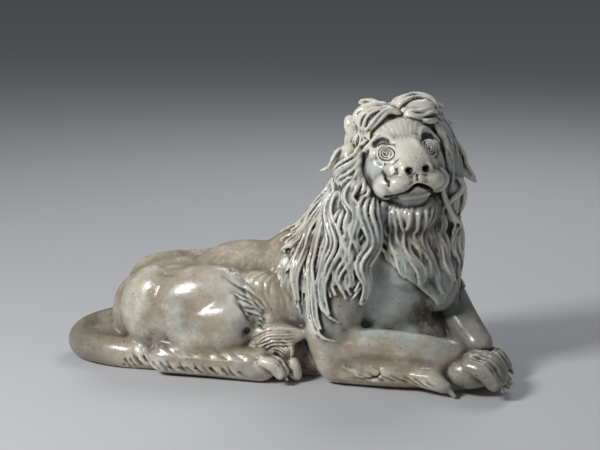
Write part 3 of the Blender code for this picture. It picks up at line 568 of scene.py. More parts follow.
SIDE = (
    # in front of and over the right shoulder, under the single locks
    ((14.6, -9, 38.6), (12.6, -11, 34), (13, -11.5, 28.5), (12.4, -12, 23), (12.6, -12, 18.1)),
    ((10.8, -8, 36.6), (9, -9.6, 32), (10, -11, 26.7), (9.2, -12, 21.5), (8.8, -12, 15)),
    ((9.6, -7, 37), (6.6, -9, 31.4), (5.8, -10, 26.6), (5.6, -11.5, 20), (7, -12, 12)),
    ((8.6, -5.6, 36.6), (5, -7, 31), (3.4, -8, 26.8), (2.2, -9.4, 21), (3, -10.4, 13)),
    ((9, -3.6, 37), (5.6, -5.4, 32.8), (3.2, -6.4, 29), (0.6, -7, 26), (-2.6, -7.2, 23.9)),
)
for i, share in enumerate(even_shares(SIDE, SIDE_PAIRS)):
    lock(fan_line(SIDE, share), 1, 0.9, strands=2, wave=0.35, waves=3.0, phase=0.5 * share,
         rise=0.45, reach=(1, 0.86, 0.94)[i % 3], hook=(0.6, -0.4)[i % 2])
# the ground of single strands, all parallel
for i, share in enumerate(even_shares(CREST, CREST_STRANDS)):
    reach = 0.94 + 0.06 * math.sin(2.4 * i)
    line = crest_line(share)
    lock(line, 0.68, 0.6, strands=1, wave=0.7, waves=WAVES * reach * len(line) / CREST_POINTS,
         phase=waving(share), rise=0.1, reach=reach)
# the locks over it, with their tips at many heights
for i, share in enumerate(even_shares(CREST, CREST_LOCKS)):
    reach = (0.98, 0.66, 0.84, 0.54, 0.90, 0.74)[i % 6]
    line = crest_line(share)
    lock(line, 1.45, 1.1, strands=3, wave=0.75, waves=WAVES * reach * len(line) / CREST_POINTS,
         phase=waving(share) + 0.05 * math.sin(2.1 * i), rise=(0.5, 0.95, 0.7)[i % 3], reach=reach,
         hook=(0.7, -0.6, 0.4, -0.8)[i % 4])
# the beard, made in the same two layers
for share in even_shares(THROAT, THROAT_STRANDS):
    lock(fan_line(THROAT, share), 0.6, 0.6, strands=1, wave=0.3, waves=2.6, phase=0.5 * share,
         rise=0.2)
for i, share in enumerate(even_shares(THROAT, THROAT_LOCKS)):
    lock(fan_line(THROAT, share), 1.25, 1, strands=3, wave=0.35, waves=2.6,
         phase=0.5 * share, rise=0.5, reach=(0.98, 0.62, 0.8)[i % 3], hook=0.5)

SIDE_LOCKS = (
    # width and line of the long locks in front of the right shoulder, with hooked tips
    (1.5, ((14.6, -9, 38.6), (13.2, -10, 36.5), (12.3, -11, 34.3), (13.8, -11.5, 31.7), (12.5, -12, 27.2),
           (12.3, -12, 23.5), (12.6, -12, 18.1))),
    (1.9, ((16.4, -9.4, 35.8), (15.2, -10.6, 32.4), (16.6, -11.5, 27.4), (14.6, -12, 23.2),
           (15.6, -12, 19), (14.9, -12, 15.4), (16.4, -12.4, 16.4))),
    (1.5, ((10.8, -8, 36.6), (8.8, -9.6, 32.6), (10.6, -11, 26.7), (9.2, -12, 22.4), (8.1, -12, 18.6),
           (9, -12.5, 14), (10.6, -12.6, 11.8))),
    (1.6, ((9.6, -7, 37), (6.8, -9, 31.4), (5.9, -10, 27.4), (5.3, -11, 22), (6.8, -12, 15.8),
           (8.2, -12, 9.6), (10.4, -12.5, 8.4))),
    (1.4, ((8.6, -5.6, 36.6), (5, -7, 31), (3.6, -8, 27.4), (2.7, -9, 24.2), (2, -10, 18.8),
           (3.2, -10.5, 11.4))),
    (1.3, ((9, -3.6, 37), (5.8, -5.4, 33), (4.1, -6, 30.2), (1.7, -7, 26.5), (-2.6, -7.2, 23.9))),
)
for i, (width, line) in enumerate(SIDE_LOCKS):
    lock(line, width, 1.2, strands=4, wave=0.15, waves=3.0, phase=0.3 * i, rise=0.9)

LOOSE_LOCKS = (
    # width, depth and line: over the right shoulder, its tip flung back
    (1, 0.7, ((12.4, -5, 43.6), (10.6, -6.2, 43.2), (9.1, -7, 42.4), (8.3, -7.6, 40.9), (7.6, -8, 39.6),
                (6, -8.2, 38.8))),
    # out over the left shoulder, and hanging beside the left cheek
    (2.2, 1, [HEAD @ Vector(p) for p in (
        (-8, 2, 6.5), (-10.5, 1, 2.9), (-12.2, 0, -1), (-12.7, 0, -2.9), (-13.9, 0, -4.9),
        (-14.6, 0.4, -6.4))]),
    (1.6, 0.9, [HEAD @ Vector(p) for p in (
        (-7.2, 3.4, 3.5), (-7.8, 3, 0), (-8.5, 2.6, -4.4), (-9.3, 2.2, -8.6), (-7.8, 2, -12),
        (-6, 2, -14.7), (-5.8, 2, -17.6))]),
)
for width, depth, line in LOOSE_LOCKS:
    lock(line, width, depth, strands=4, cling=0.0)

TEMPLE = (
    # brushed from the parting over the right temple, in the head's axes
    ((-0.2, 6.3, 7.9), (1.8, 6, 7.8), (3.7, 5.6, 7), (4.9, 5, 5.4), (6.2, 4.2, 3.2)),
    ((0.1, 5.8, 8.3), (2.6, 5.4, 8.4), (4.8, 4.7, 7.2), (6, 4.1, 5.4), (6.5, 3.9, 3)),
    ((0.7, 5.2, 8.6), (3.6, 4.6, 8.9), (5.8, 3.8, 7.8), (6.8, 3.2, 5.8), (6.6, 3.6, 2.6)),
    ((0.8, 4.2, 9.2), (3.8, 3.4, 9.6), (6.4, 2.4, 8.3), (7.4, 2, 5.8), (7.4, 2, 2)),
    ((0.8, 2.8, 9.6), (3.8, 1.8, 10), (6.6, 0.8, 8.6), (7.8, 0.4, 5.8), (8, 0.4, 2)),
)
FORELOCK = (
    # rolled over to the left
    ((-0.4, 4.8, 8.4), (-2.4, 4.7, 9), (-4.6, 4.4, 9.2), (-6.6, 4, 8.7), (-8, 3.6, 7.6),
     (-8.8, 3.4, 6.4)),
    ((0, 3.8, 9.2), (-2.2, 3.6, 10.2), (-4.6, 3.3, 10.4), (-7, 3.2, 9.4), (-8.6, 3, 8),
     (-9.2, 3, 6.6)),
    ((0.2, 2.6, 9.6), (-2, 2.2, 10.6), (-4.5, 2, 10.8), (-7, 2, 9.8), (-8.8, 2.2, 8.2),
     (-9.4, 2.4, 6.6)),
    ((0.2, 1.4, 9.6), (-2.2, 0.9, 10.4), (-5, 0.8, 10.5), (-7.6, 0.8, 9.4), (-9.4, 1, 7.6),
     (-10, 1, 5.4)),
)
LEFT_CHEEK = (
    # hanging beside the left cheek
    ((-6.4, 4.2, 5.4), (-7.8, 3.6, 3), (-8.3, 3.4, 0.5), (-8.6, 3.2, -3.5), (-8.2, 2.9, -8),
     (-7.2, 2, -12.5)),
    ((-7.2, 3.4, 6.2), (-8.8, 2.8, 3.2), (-9.6, 2.6, 0.2), (-9.9, 2.4, -4.2), (-9.4, 2.2, -9),
     (-8.4, 1.2, -13.5)),
    ((-8, 1.8, 6.6), (-9.8, 1.2, 3.2), (-10.8, 1, -0.2), (-11, 1, -5), (-10.4, 0.8, -9.5),
     (-9.6, 0.2, -13.5)),
)


def laid_fan(fan, singles, pairs, width, cling):
    """A ground of single strands over a fan in the head's axes, with pairs raised on it."""
    for i, share in enumerate(even_shares(fan, singles)):
        line = [HEAD @ p for p in fan_line(fan, share)]
        lock(line, width, 0.6, strands=1, wave=0.25, waves=1.6, phase=0.5 * share,
             rise=0.5 + 0.2 * (i % 2), cling=cling)
    for i, share in enumerate(even_shares(fan, pairs)):
        line = [HEAD @ p for p in fan_line(fan, share)]
        lock(line, 1.5 * width, 0.8, strands=2, wave=0.25, waves=1.6, phase=0.5 * share, rise=0.95,
             cling=cling, reach=(0.96, 0.80)[i % 2], hook=(0.5, -0.4, 0.7)[i % 3])


laid_fan(TEMPLE, 8, 2, 0.42, 0.8)
laid_fan(FORELOCK, 5, 2, 0.42, 0.7)
laid_fan(LEFT_CHEEK, 10, 3, 0.46, 0.6)

HEAD_LOCKS = (
    # width, cling and line: the tuft that stands on the right, and the small curl at the parting
    (1, 0.1, ((0.8, 3.5, 9.2), (3.1, 2.5, 10.4), (5, 1.5, 11.3), (6, 1, 10.9))),
    (0.7, 0.1, ((-0.7, 5, 8.4), (-2.9, 5.4, 7.7), (-4.9, 5.2, 8.2), (-6, 4.6, 9.1), (-5, 4.8, 9.5),
                (-4.4, 4.8, 9.1))),
    # brushed over the left temple
    (0.8, 0.5, ((-0.8, 5.9, 7.4), (-3, 5.6, 7), (-5.6, 4.8, 7.2), (-7.6, 3.8, 7), (-8.8, 3.2, 5.6))),
    (1, 0, ((-1.3, 5.3, 7.7), (-4.6, 4.6, 7.7), (-7.3, 3.4, 7.4), (-9.3, 2.2, 5.9), (-11, 1.6, 5),
                (-12.4, 1.2, 5.1))),
    (0.9, 0.2, ((-2, 5.4, 6.9), (-5, 4.8, 6.8), (-7.8, 3.6, 6.2), (-10, 2, 4.6),
                (-11.6, 1.2, 3.6))),
    (0.8, 0.1, ((-5, 2, 9.8), (-7.2, 1, 9.5), (-9.6, 0.6, 8.7), (-10.9, 0.4, 7.5))),
    (0.8, 0.8, ((-3.4, 5.4, 5.8), (-5.9, 4.6, 6), (-8, 3.6, 4.7), (-9.1, 3, 2.8), (-8.1, 3, 0.2))),
    (0.9, 0.8, ((-7.6, 3.4, 5), (-8.8, 2.8, 3), (-8.8, 2.8, 0), (-8.4, 3, -3),
                (-8.8, 3, -6))),
)
for i, (width, cling, line) in enumerate(HEAD_LOCKS):
    lock([HEAD @ Vector(p) for p in line], width, 0.9, strands=3 if width < 1.1 else 4,
         wave=0.12, waves=2.0, phase=0.3 * i, rise=0.5, cling=cling)

CHEEK = (
    # swept out from the right cheek, in the head's axes, the longest hooked forwards
    ((6.4, 3.6, 4.5), (7.8, 2.6, 2.4), (9.1, 1.5, 0.6), (10.6, 0.5, -1.4), (11.4, 0.5, -3.6)),
    ((7, 3.4, 2.6), (8.2, 2.6, 0.8), (9.9, 1.6, -0.8), (11.4, 0.8, -2.8), (12, 0.8, -5)),
    ((7.2, 3.2, 1), (8.6, 2.6, -0.8), (10.6, 1.6, -2.4), (12.1, 1.2, -4.6), (11.1, 3, -6.8)),
    ((7.2, 3.4, -0.8), (8.4, 3.3, -2.2), (9.8, 2.9, -3.4), (10.8, 2.4, -4.6), (11.4, 2.2, -6.4)),
    ((7, 3.6, -2.6), (8.2, 3.4, -4.4), (9.8, 3, -5.6), (10.8, 2.6, -7.4), (10.6, 2.6, -9.6)),
    ((6.6, 3.8, -4.2), (7.5, 3.6, -5.8), (8.5, 3.2, -7.2), (9.3, 3, -8.8), (9.6, 3, -10.4)),
)
CHEEK_LOCKS = 5
laid_fan(CHEEK, 11, 3, 0.46, 0.85)
for i, share in enumerate(even_shares(CHEEK, CHEEK_LOCKS)):
    lock([HEAD @ p for p in fan_line(CHEEK, share)], 1.15, 0.9, strands=3, wave=0.3, waves=1.6,
         phase=0.4 * share, rise=1.0, cling=0.8, hook=(0.9, 0.2, -0.5)[i % 3])


def fringe(starts, middles, ends, count, width, rise, hook=0.0):
    """A fan of fine locks between two outer lines, each of three points."""
    for k in range(count):
        share = k / (count - 1)
        line = [Vector(a).lerp(Vector(b), share) for a, b in (starts, middles, ends)]
        line[0] = line[0].lerp(line[1], 0.3 * math.sin(2.3 * k) ** 2)
        line[2] = line[2].lerp(line[1], 0.25 * math.sin(1.7 * k) ** 2)
        lock(line, width, 0.5, strands=2, wave=0.25, waves=1.2, phase=0.4 * k, rise=rise, hook=hook)


# the low tuft behind the wrist
fringe(((11, -14, 4.6), (14, -14.4, 3)), ((14.6, -15, 3.2), (16.4, -15, 2)),
       ((18.4, -15, 1.6), (20.4, -14.8, 0.6)), 5, 0.4, rise=-0.5)

locks = bpy.data.objects.new("hair", hair)
bpy.context.scene.collection.objects.link(locks)
bpy.ops.object.select_all(action="DESELECT")
locks.select_set(True)
bpy.context.view_layer.objects.active = locks
bpy.ops.object.convert(target="MESH")

# THE WHOLE ANIMAL
# Body, head, paws and hair are one hollow piece of porcelain clay. Here all of it is run together into
# one skin, finely enough for each strand to stay round.

FINE_GRAIN, FINE_SMOOTHING = 0.15, 1
MOST_TRIANGLES = 160000

features_shape = features.copy()
add_body(features, locks)
add_body(features, head_body)
lion = knead(body_of("lion_porcelain", features), FINE_GRAIN, FINE_SMOOTHING)

# THE TOOLED LINES
# Eyes, nostrils, mouth, wrinkles and strokes of fur, cut and pressed with fine tools in the leather-hard
# clay. The clay is divided more finely where they go, and its underside is cut off flat.


def refine(body, places, cuts):
    """Divides the triangles round some places, each a middle and a reach."""
    clay = bmesh.new()
    clay.from_mesh(body.data)
    chosen = [e for e in clay.edges
              if any((e.verts[0].co - middle).length < reach for middle, reach in places)]
    bmesh.ops.subdivide_edges(clay, edges=chosen, cuts=cuts, use_grid_fill=True)
    bmesh.ops.triangulate(clay, faces=[f for f in clay.faces if len(f.verts) > 3])
    clay.to_mesh(body.data)
    clay.free()


def on_face(surface, x, z):
    """The place on the face straight behind a point of its front view."""
    ahead = HEAD.to_3x3() @ Vector((0, -1, 0))
    place, _, _, _ = surface.ray_cast(HEAD @ Vector((x, 16, z)), ahead)
    return place


# the shares of an open stroke over which it fades in and out, and how far apart its ends are
FADE_IN, FADE_OUT, OPEN_FROM = 0.3, 0.2, 1.0


def carve(body, lines):
    """Presses grooves into a skin: each line is its depth, its half width and its points.

    A line of one point presses a dimple, and a depth below zero raises a ridge. An open stroke fades in
    over its first part and out over its last.
    """
    mesh = body.data
    places = np.empty(len(mesh.vertices) * 3)
    mesh.vertices.foreach_get("co", places)
    places = places.reshape(-1, 3)
    normals = np.empty(len(mesh.vertices) * 3)
    mesh.vertex_normals.foreach_get("vector", normals)
    pressed = np.zeros(len(places))
    for depth, reach, line in lines:
        rows = np.array(smooth_path(line)) if len(line) > 1 else np.array([line[0], line[0]])
        inside = (places > rows.min(axis=0) - reach) & (places < rows.max(axis=0) + reach)
        chosen = np.flatnonzero(inside.all(axis=1))
        away = np.full(len(chosen), reach)
        gone = np.zeros(len(chosen))
        for i, (start, end) in enumerate(zip(rows[:-1], rows[1:])):
            along = end - start
            offset = places[chosen] - start
            share = np.clip(offset @ along / max(along @ along, 1e-9), 0, 1)
            here = np.linalg.norm(offset - share[:, None] * along, axis=1)
            gone = np.where(here < away, (i + share) / (len(rows) - 1), gone)
            away = np.minimum(away, here)
        deep = depth * (1 - (away / reach) ** 2) ** 2
        if np.linalg.norm(rows[0] - rows[-1]) > OPEN_FROM:
            deep = deep * np.clip(np.minimum(gone / FADE_IN, (1 - gone) / FADE_OUT), 0, 1)
        pressed[chosen] += deep
    places -= normals.reshape(-1, 3) * pressed[:, None]
    mesh.vertices.foreach_set("co", places.reshape(-1))
    mesh.update()


body_skin = BVHTree.FromBMesh(features_shape)
grooves = []


def tool_body(depth, reach, points):
    """A groove laid on the skin of the body or of a paw, whichever stands further out."""
    line = []
    for point in points:
        found = [tree.find_nearest(Vector(point)) for tree in (skin, body_skin)]
        line.append(min(found, key=lambda hit: hit[3])[0])
    grooves.append((depth, reach, line))


def fan_of_grooves(depth, reach, count, starts, middles, ends):
    """Grooves spread between two outer lines, each of three points."""
    for k in range(count):
        share = k / (count - 1)
        line = [Vector(a).lerp(Vector(b), share) for a, b in (starts, middles, ends)]
        line[0] = line[0].lerp(line[1], 0.3 * math.sin(2.3 * k) ** 2)
        tool_body(depth, reach, smooth_path(line, 3))


for y in (-1, 1):
    # over the knee, and along the tuft of the tail
    fan_of_grooves(0.34, 0.34, 9, ((-11.5, 11 * y, 19.6), (-9.4, 12 * y, 14)),
                   ((-6, 12 * y, 17), (-6.4, 13 * y, 12.6)), ((-1.8, 12 * y, 12.4), (-3.6, 13 * y, 10)))
    fan_of_grooves(0.26, 0.34, 6, ((-6.4, 12 * y, 7), (-5.6, 12 * y, 4.6)),
                   ((-2.6, 13 * y, 9.8), (-1.4, 13 * y, 6.6)), ((3.4, 12 * y, 9.8), (2.4, 12 * y, 6.8)))
    fan_of_grooves(0.26, 0.34, 4, ((-1.2, 13 * y, 8.2), (-2.4, 13 * y, 6.4)),
                   ((1.6, 13 * y, 6.6), (0.2, 13 * y, 5.2)), ((1.4, 13 * y, 3.4), (-0.4, 13 * y, 3.6)))
    for k in range(18):
        # short uneven tufts of fur along the lower edge of each hind foot
        x = -26.0 + 1.05 * k + 0.5 * math.sin(2.3 * k)
        tool_body(0.20 + 0.16 * math.sin(1.7 * k) ** 2, 0.42,
                  [(x, 15.2 * y, 3.0 + 0.7 * math.sin(2.9 * k)), (x + 0.8, 15.6 * y, 1.6),
                   (x + 1.6, 15.4 * y, 0.3)])
    for k in range(14):
        # and along the lower edge of the rump
        x = -36.0 + 0.85 * k + 0.4 * math.sin(2.7 * k)
        aside = 6.0 + 0.45 * k
        tool_body(0.24 + 0.14 * math.sin(1.3 * k) ** 2, 0.42,
                  [(x, aside * y, 3.9 + 0.9 * math.sin(2.1 * k)), (x + 0.9, (aside + 1) * y, 2.2),
                   (x + 2, (aside + 1.6) * y, 0.4)])
    for k in range(7):
        # finer strokes above them
        x = -25.0 + 3.1 * k
        tool_body(0.10, 0.5, [(x, 14.6 * y, 6.4), (x + 1.8, 15.2 * y, 5.4), (x + 3.4, 15.4 * y, 4.8)])
    for k in range(4):
        # wrinkles over the hip
        z = 19.6 - 0.9 * k
        tool_body(0.13, 0.6, [(-27.0 + 0.8 * k, (4.6 + 0.9 * k) * y, z - 0.9),
                              (-22.5, (5.4 + 0.9 * k) * y, z),
                              (-17.0 - 0.9 * k, (6.0 + 0.9 * k) * y, z - 0.4)])
    for k in range(12):
        # soft low locks on the shoulder and the flank, behind the mane
        share = k / 11
        line = [Vector(a).lerp(Vector(b), share) for a, b in (
            ((4.5, 9.5, 24), (-9, 7, 24)), ((1.5, 10.5, 18), (-11, 8.5, 19)),
            ((2.5, 10.5, 9.5), (-6, 9, 13)))]
        line[2] = line[2].lerp(line[1], 0.6 * math.sin(1.9 * k) ** 2)
        tool_body(0.14, 0.6, [(q[0] + 0.5 * math.sin(1.3 * i + k), q[1] * y, q[2])
                              for i, q in enumerate(smooth_path(line, 3))])
for k in range(24):
    # low strokes down the back and the far side of the rump
    x = -32.0 + 1.2 * k + 0.4 * math.sin(3.1 * k)
    y = 2.6 + 1.8 * math.sin(2.2 * k)
    tool_body(0.09, 0.6, [(x, y, 24), (x - 2.2, y + 1.4, 22), (x - 4, y + 3.4, 18)])
for foot in paws:
    # the partings of the toes, and fine strokes above them
    for k in range(9):
        aside = 0.75 * (k - 4)
        depth = 0.34 if k % 2 == 0 else 0.16
        line = ((0.6, 0.9 * aside, 3.4), (3.2, 1.1 * aside, 2.6), (5, 1.2 * aside, 0.9))
        tool_body(depth, 0.36, [foot @ Vector(p) for p in line])
# the crescent behind the wrist, and the ridge along the forearm with the soft hollow under it
tool_body(0.3, 0.4, [(13.5, -15.5, 1.6), (17, -15.6, 2), (18.6, -15.6, 3.4), (18, -15.6, 4.8)])
tool_body(-0.35, 1.2, [(12, -12, 10.5), (20, -12.2, 10.4), (30, -12.4, 9.4)])
tool_body(0.35, 1.8, [(13, -15.5, 5.6), (21, -15.8, 5.4), (29, -15.4, 5.2)])
for k in range(7):
    # fur along the lower edge of the forearm
    x = 14.0 + 2.1 * k
    tool_body(0.2, 0.34, [(x, -15.6, 3.4), (x + 1.6, -15.8, 2.4), (x + 3.4, -15.6, 1.4)])
carve(lion, grooves)

# the skin is thinned to triangles, closest where it bends most
lion.modifiers.new("triangles", "TRIANGULATE")
bpy.ops.object.modifier_apply(modifier="triangles")
thin = lion.modifiers.new("thin", "DECIMATE")
thin.ratio = MOST_TRIANGLES / len(lion.data.polygons)
bpy.ops.object.modifier_apply(modifier="thin")
set_down(lion, 0)

# the round vent over the hind foot, and two drilled holes
VENT = (-6.6, -13, 9.2)
DRILL_HOLES = ((12.2, -14, 11.8), (12.6, -14, 10.9))
# radius, depth and half width of each ring cut in an eyeball
EYE_RINGS = ((1.26, 0.24, 0.24), (0.82, 0.14, 0.17), (0.44, 0.12, 0.15))
# lines on the face, in its front view
MOUTH = ((5.4, -6.9), (4.6, -7), (3.4, -6.9), (2, -6.6), (0.3, -5.8), (-1.4, -6.3), (-2.8, -7),
         (-3.8, -7.4))
CRACK = ((5.3, -2.5), (5.15, -3.2), (5.3, -3.9), (5.1, -4.5), (5.2, -5.2))

middles = [HEAD @ Vector((EYE.x * side, EYE.y + EYE_RADIUS, EYE.z)) for side in (-1, 1)]
mouth = HEAD @ Vector((0, 10, -6))
refine(lion, [(HEAD @ Vector((0, 8, -1)), 8)], 1)
vent_edge = Vector(VENT) + Vector((0, 1, 0))
refine(lion, [(middle, 1.9) for middle in middles] + [(mouth, 2.8), (vent_edge, 1.2)], 1)
refine(lion, [(middle, 1.6) for middle in middles], 1)
surface = surface_of(lion)
grooves = []


def tool_face(depth, reach, points):
    """A groove through points of the face's front view."""
    grooves.append((depth, reach, [on_face(surface, x, z) for x, z in points]))


def round_eye(side, across, up, angles):
    """Points round an eye in the front view, at angles in radians."""
    return [(EYE.x * side + across * math.cos(a), EYE.z + up * math.sin(a)) for a in angles]


def pupil(side):
    """Where the pupil is drilled, a little off the middle of the eye."""
    return EYE.x * side + 0.15, EYE.z - 0.1


for side in (-1, 1):
    # the rings of the eyes, their pupils, and the lids
    for ring, depth, reach in EYE_RINGS:
        tool_face(depth, reach, round_eye(side, ring, ring, [0.262 * k for k in range(25)]))
    tool_face(0.3, 0.28, [pupil(side)])
    tool_face(0.2, 0.3, round_eye(side, 2.1, 1.9, (0.2, 0.8, 1.57, 2.3, 2.9)))
    tool_face(0.16, 0.3, round_eye(side, 2.2, 2, (-0.4, -1, -1.57, -2.1, -2.7)))
    # the hollow under the brow, the nostril, and the fold from the nose to the cheek
    tool_face(0.6, 0.75, [(6.0 * side, 2), (5.2 * side, 2.7), (4.1 * side, 3.1), (3.0 * side, 2.5)])
    tool_face(-0.16, 0.35, [(6.4 * side, 2.9), (4.5 * side, 4.4), (3.4 * side, 4.2), (2.5 * side, 2.7)])
    tool_face(1.2, 0.8, [(1.4 * side, -3.2), (1.8 * side, -3)])
# the cleft of the upper lip
tool_face(0.35, 0.4, [(0.1, -3.8), (0.2, -5.2)])
tool_face(1, 0.42, MOUTH)
tool_face(0.25, 0.3, CRACK)
# the hollow of the ear
tool_face(0.5, 0.8, [(7.5, 7.2), (7.3, 5.6)])
for k in range(7):
    # the wrinkles of the forehead
    x = -1.8 + 0.6 * k
    tool_face(0.14, 0.24, [(x, 2.0 + 0.2 * (k % 2)), (1.15 * x + 0.1, 3.6), (1.5 * x - 0.1, 5),
                           (1.9 * x, 6.4 - 0.3 * (k % 3))])
for depth, reach, point in ((1.2, 0.62, VENT), *((0.5, 0.28, hole) for hole in DRILL_HOLES)):
    grooves.append((depth, reach, [surface.find_nearest(Vector(point))[0]]))
carve(lion, grooves)
surface = surface_of(lion)

# THE GLAZE
# A thick clear glaze over grey-white porcelain. It is blue-grey where it pooled, over the mane and the
# breast, and buff and speckled with iron where it ran thin, over the back, the feet and the muzzle.
# Shade and highlights are painted into its colour as well: shade in the hollows, the recesses, the holes,
# under the chin and over the front legs, and highlights on the ridges, the forehead and the near thigh.

COOL, WARM, PALE = (0.38, 0.42, 0.415, 1), (0.320, 0.274, 0.204, 1), (0.76, 0.745, 0.65, 1)
# dark brown for the painted shade in the hollows, under the chin and over the front legs, and for the
# darker tail end; then iron
SHADE_AND_DARKENING, IRON = (0.045, 0.040, 0.034, 1), (0.13, 0.075, 0.04, 1)
# dark red-brown for the bare body in the recesses, painted dark as shade, and near black for the pinholes
# and for painted shade in the holes
BARE_BODY_IN_SHADE, SPECK_AND_SHADE_BLACK = (0.085, 0.036, 0.020, 1), (0.006, 0.005, 0.005, 1)
# how strongly ridges and hollows are drawn out, and by how much at most
RELIEF, HIGHEST, DEEPEST = 0.8, 0.10, 0.18
# the middle and the reach of the face, which keeps its smoothness
FACE_MIDDLE, FACE_REACH = (0, 8, -1.5), 7.5

count = len(lion.data.vertices)
spots = np.empty(count * 3)
lion.data.vertices.foreach_get("co", spots)
spots = spots.reshape(-1, 3)
facing = np.empty(count * 3)
lion.data.vertex_normals.foreach_get("vector", facing)
facing = facing.reshape(-1, 3)
edges = np.empty(len(lion.data.edges) * 2, dtype=np.int64)
lion.data.edges.foreach_get("vertices", edges)
ends_a, ends_b = edges[0::2], edges[1::2]


def averaged(values, rounds):
    """Values of each vertex, spread to its neighbours a number of times."""
    share = np.bincount(ends_a, minlength=count) + np.bincount(ends_b, minlength=count) + 1.0
    for _ in range(rounds):
        total = values.copy()
        for axis in range(values.shape[1]):
            total[:, axis] += np.bincount(ends_a, values[ends_b, axis], count)
            total[:, axis] += np.bincount(ends_b, values[ends_a, axis], count)
        values = total / share[:, None]
    return values


# every ridge is raised and every hollow deepened a little, as a tool run along the locks leaves them
dent = ((averaged(spots, 6) - spots) * facing).sum(axis=1)
dent = averaged(dent[:, None], 1)[:, 0]
dent[spots[:, 2] < 0.3] = 0
dent[np.linalg.norm(spots - np.array(HEAD @ Vector(FACE_MIDDLE)), axis=1) < FACE_REACH] = 0
spots = spots - facing * np.clip(RELIEF * dent, -HIGHEST, DEEPEST)[:, None]
lion.data.vertices.foreach_set("co", spots.reshape(-1))
lion.data.update()


def paint(name, values):
    """Keeps one number for each vertex, from 0 to 1, for the glaze to read."""
    layer = lion.data.attributes.new(name, "FLOAT", "POINT")
    layer.data.foreach_set("value", np.clip(values, 0, 1).astype(np.float32))


def ramp(values, start, end):
    """0 at the start and 1 at the end, with a soft rise between."""
    share = np.clip((values - start) / (end - start), 0, 1)
    return share * share * (3 - 2 * share)


def near(places, reach):
    """1 at any of the places, falling to 0 at the reach."""
    away = np.full(count, 1e9)
    for place in places:
        away = np.minimum(away, np.linalg.norm(spots - np.array(place), axis=1))
    return ramp(away, reach, reach * 0.6)


# how deep each place lies against the skin round it, for its own fineness of triangles
lengths = np.linalg.norm(spots[ends_a] - spots[ends_b], axis=1)
total = np.bincount(ends_a, lengths, count) + np.bincount(ends_b, lengths, count)
meeting = np.bincount(ends_a, minlength=count) + np.bincount(ends_b, minlength=count)
fineness = averaged((total / meeting)[:, None], 4)[:, 0]
sunken = ((averaged(spots, 8) - spots) * facing).sum(axis=1)
sunken = averaged((sunken / fineness ** 2)[:, None], 1)[:, 0]
furry = ramp(spots[:, 0], -6, 2)
# painted shade: the hollows are darkened, more on the furry parts, where shade falls in them
paint("hollow", sunken * (0.6 + 0.6 * furry))
# painted highlight: the ridges are made paler
paint("ridge", -sunken / 1.3)
muzzle = near([HEAD @ Vector(p) for p in ((2.6, 10.6, -5), (-2.6, 10.6, -5), (0, 11, -3))], 4.6)
warmth = np.maximum(ramp(spots[:, 0], 8, -4), ramp(spots[:, 2], 12, 5) * 0.9)
# painted highlight: round the near thigh the glaze is made less warm, a blue-grey sheen
paint("warmth", np.maximum(warmth, 0.75 * muzzle) - 0.75 * near(((-13, -13, 13), (-9, -12, 14)), 8))
# the forehead, the bridge of the nose and the hair above them, which face the light, are painted palest as
# a highlight; the tail end is painted darker, and painted shade darkens the front legs and paws and under
# the chin
pale_places = ((0, 6, 4), (0, 9, -0.5), (3.5, 4, 8), (-3.5, 3.5, 8.5), (7, 2.5, 6))
# painted highlight on the forehead, the bridge of the nose and the hair above them
pale = near([HEAD @ Vector(p) for p in pale_places], 6)
# a painted highlight on the near thigh, and paler patches on the inside of the right forearm and on the
# breast
pale = np.maximum(pale, 0.35 * near(((-12, -12, 16), (28, -9, 3), (24, -9, 14)), 6))
paint("pale", pale)
# painted shade over the front legs and paws, then a darker tail end, then painted shade under the chin
shade_and_dark_tail = ramp(spots[:, 0], 26, 32) * ramp(spots[:, 2], 22, 12)
shade_and_dark_tail = np.maximum(ramp(spots[:, 0], -30, -40), shade_and_dark_tail)
shade_and_dark_tail = np.maximum(shade_and_dark_tail, near([HEAD @ Vector(p) for p in ((0, 4, -11), (3, 3, -11), (-3, 3, -11))], 4.5))
paint("shade_and_dark_tail", shade_and_dark_tail)


def on_skin(*places):
    """The places of the skin nearest to some points."""
    return [surface.find_nearest(Vector(place))[0] for place in places]


# painted shade: black in the mouth, the nostrils, the vent and the drilled holes stands for the shade
# inside them; the pupils and the claws are darkened too, and the crack is dark
claws = [foot @ Vector((6.0 - 0.45 * abs(k - 1.3), 2.24 * (k - 1.5), -1.6))
         for foot in paws for k in range(4)]
mouth_places = [Vector(row) for row in smooth_path([on_face(surface, x, z) for x, z in MOUTH])]
crack_places = [Vector(row) for row in smooth_path([on_face(surface, x, z) for x, z in CRACK], 8)]
hole_shade_and_dark_marks = np.zeros(count)
for strength, reach, places in (
    (1, 0.62, mouth_places),
    (1, 1.15, [on_face(surface, 1.6 * side, -3.1) for side in (-1, 1)]),
    (0.8, 0.32, [on_face(surface, *pupil(side)) for side in (-1, 1)]),
    (1, 0.32, crack_places),
    (0.75, 0.8, claws),
    (1, 0.95, on_skin(VENT)),
    (1, 0.3, on_skin(*DRILL_HOLES)),
):
    hole_shade_and_dark_marks = np.maximum(hole_shade_and_dark_marks, strength * near(places, reach))
paint("hole_shade_and_dark_marks", hole_shade_and_dark_marks)
# the bare red-brown body in the recesses of the breast, the elbow and the hock, painted dark for the shade
# that falls in them
RECESSES = ((24, -4, 12.5), (25, -3, 9.5), (5.5, -10.5, 4), (5, -9.5, 1.5), (-24.5, -13.5, 6.5))
paint("bare_body_in_shade", 0.8 * near(on_skin(*RECESSES), 3.6))

glaze = bpy.data.materials.new("porcelain glaze")
glaze.use_nodes = True
nodes, links = glaze.node_tree.nodes, glaze.node_tree.links
porcelain = nodes["Principled BSDF"]
place = nodes.new("ShaderNodeTexCoord").outputs["Object"]


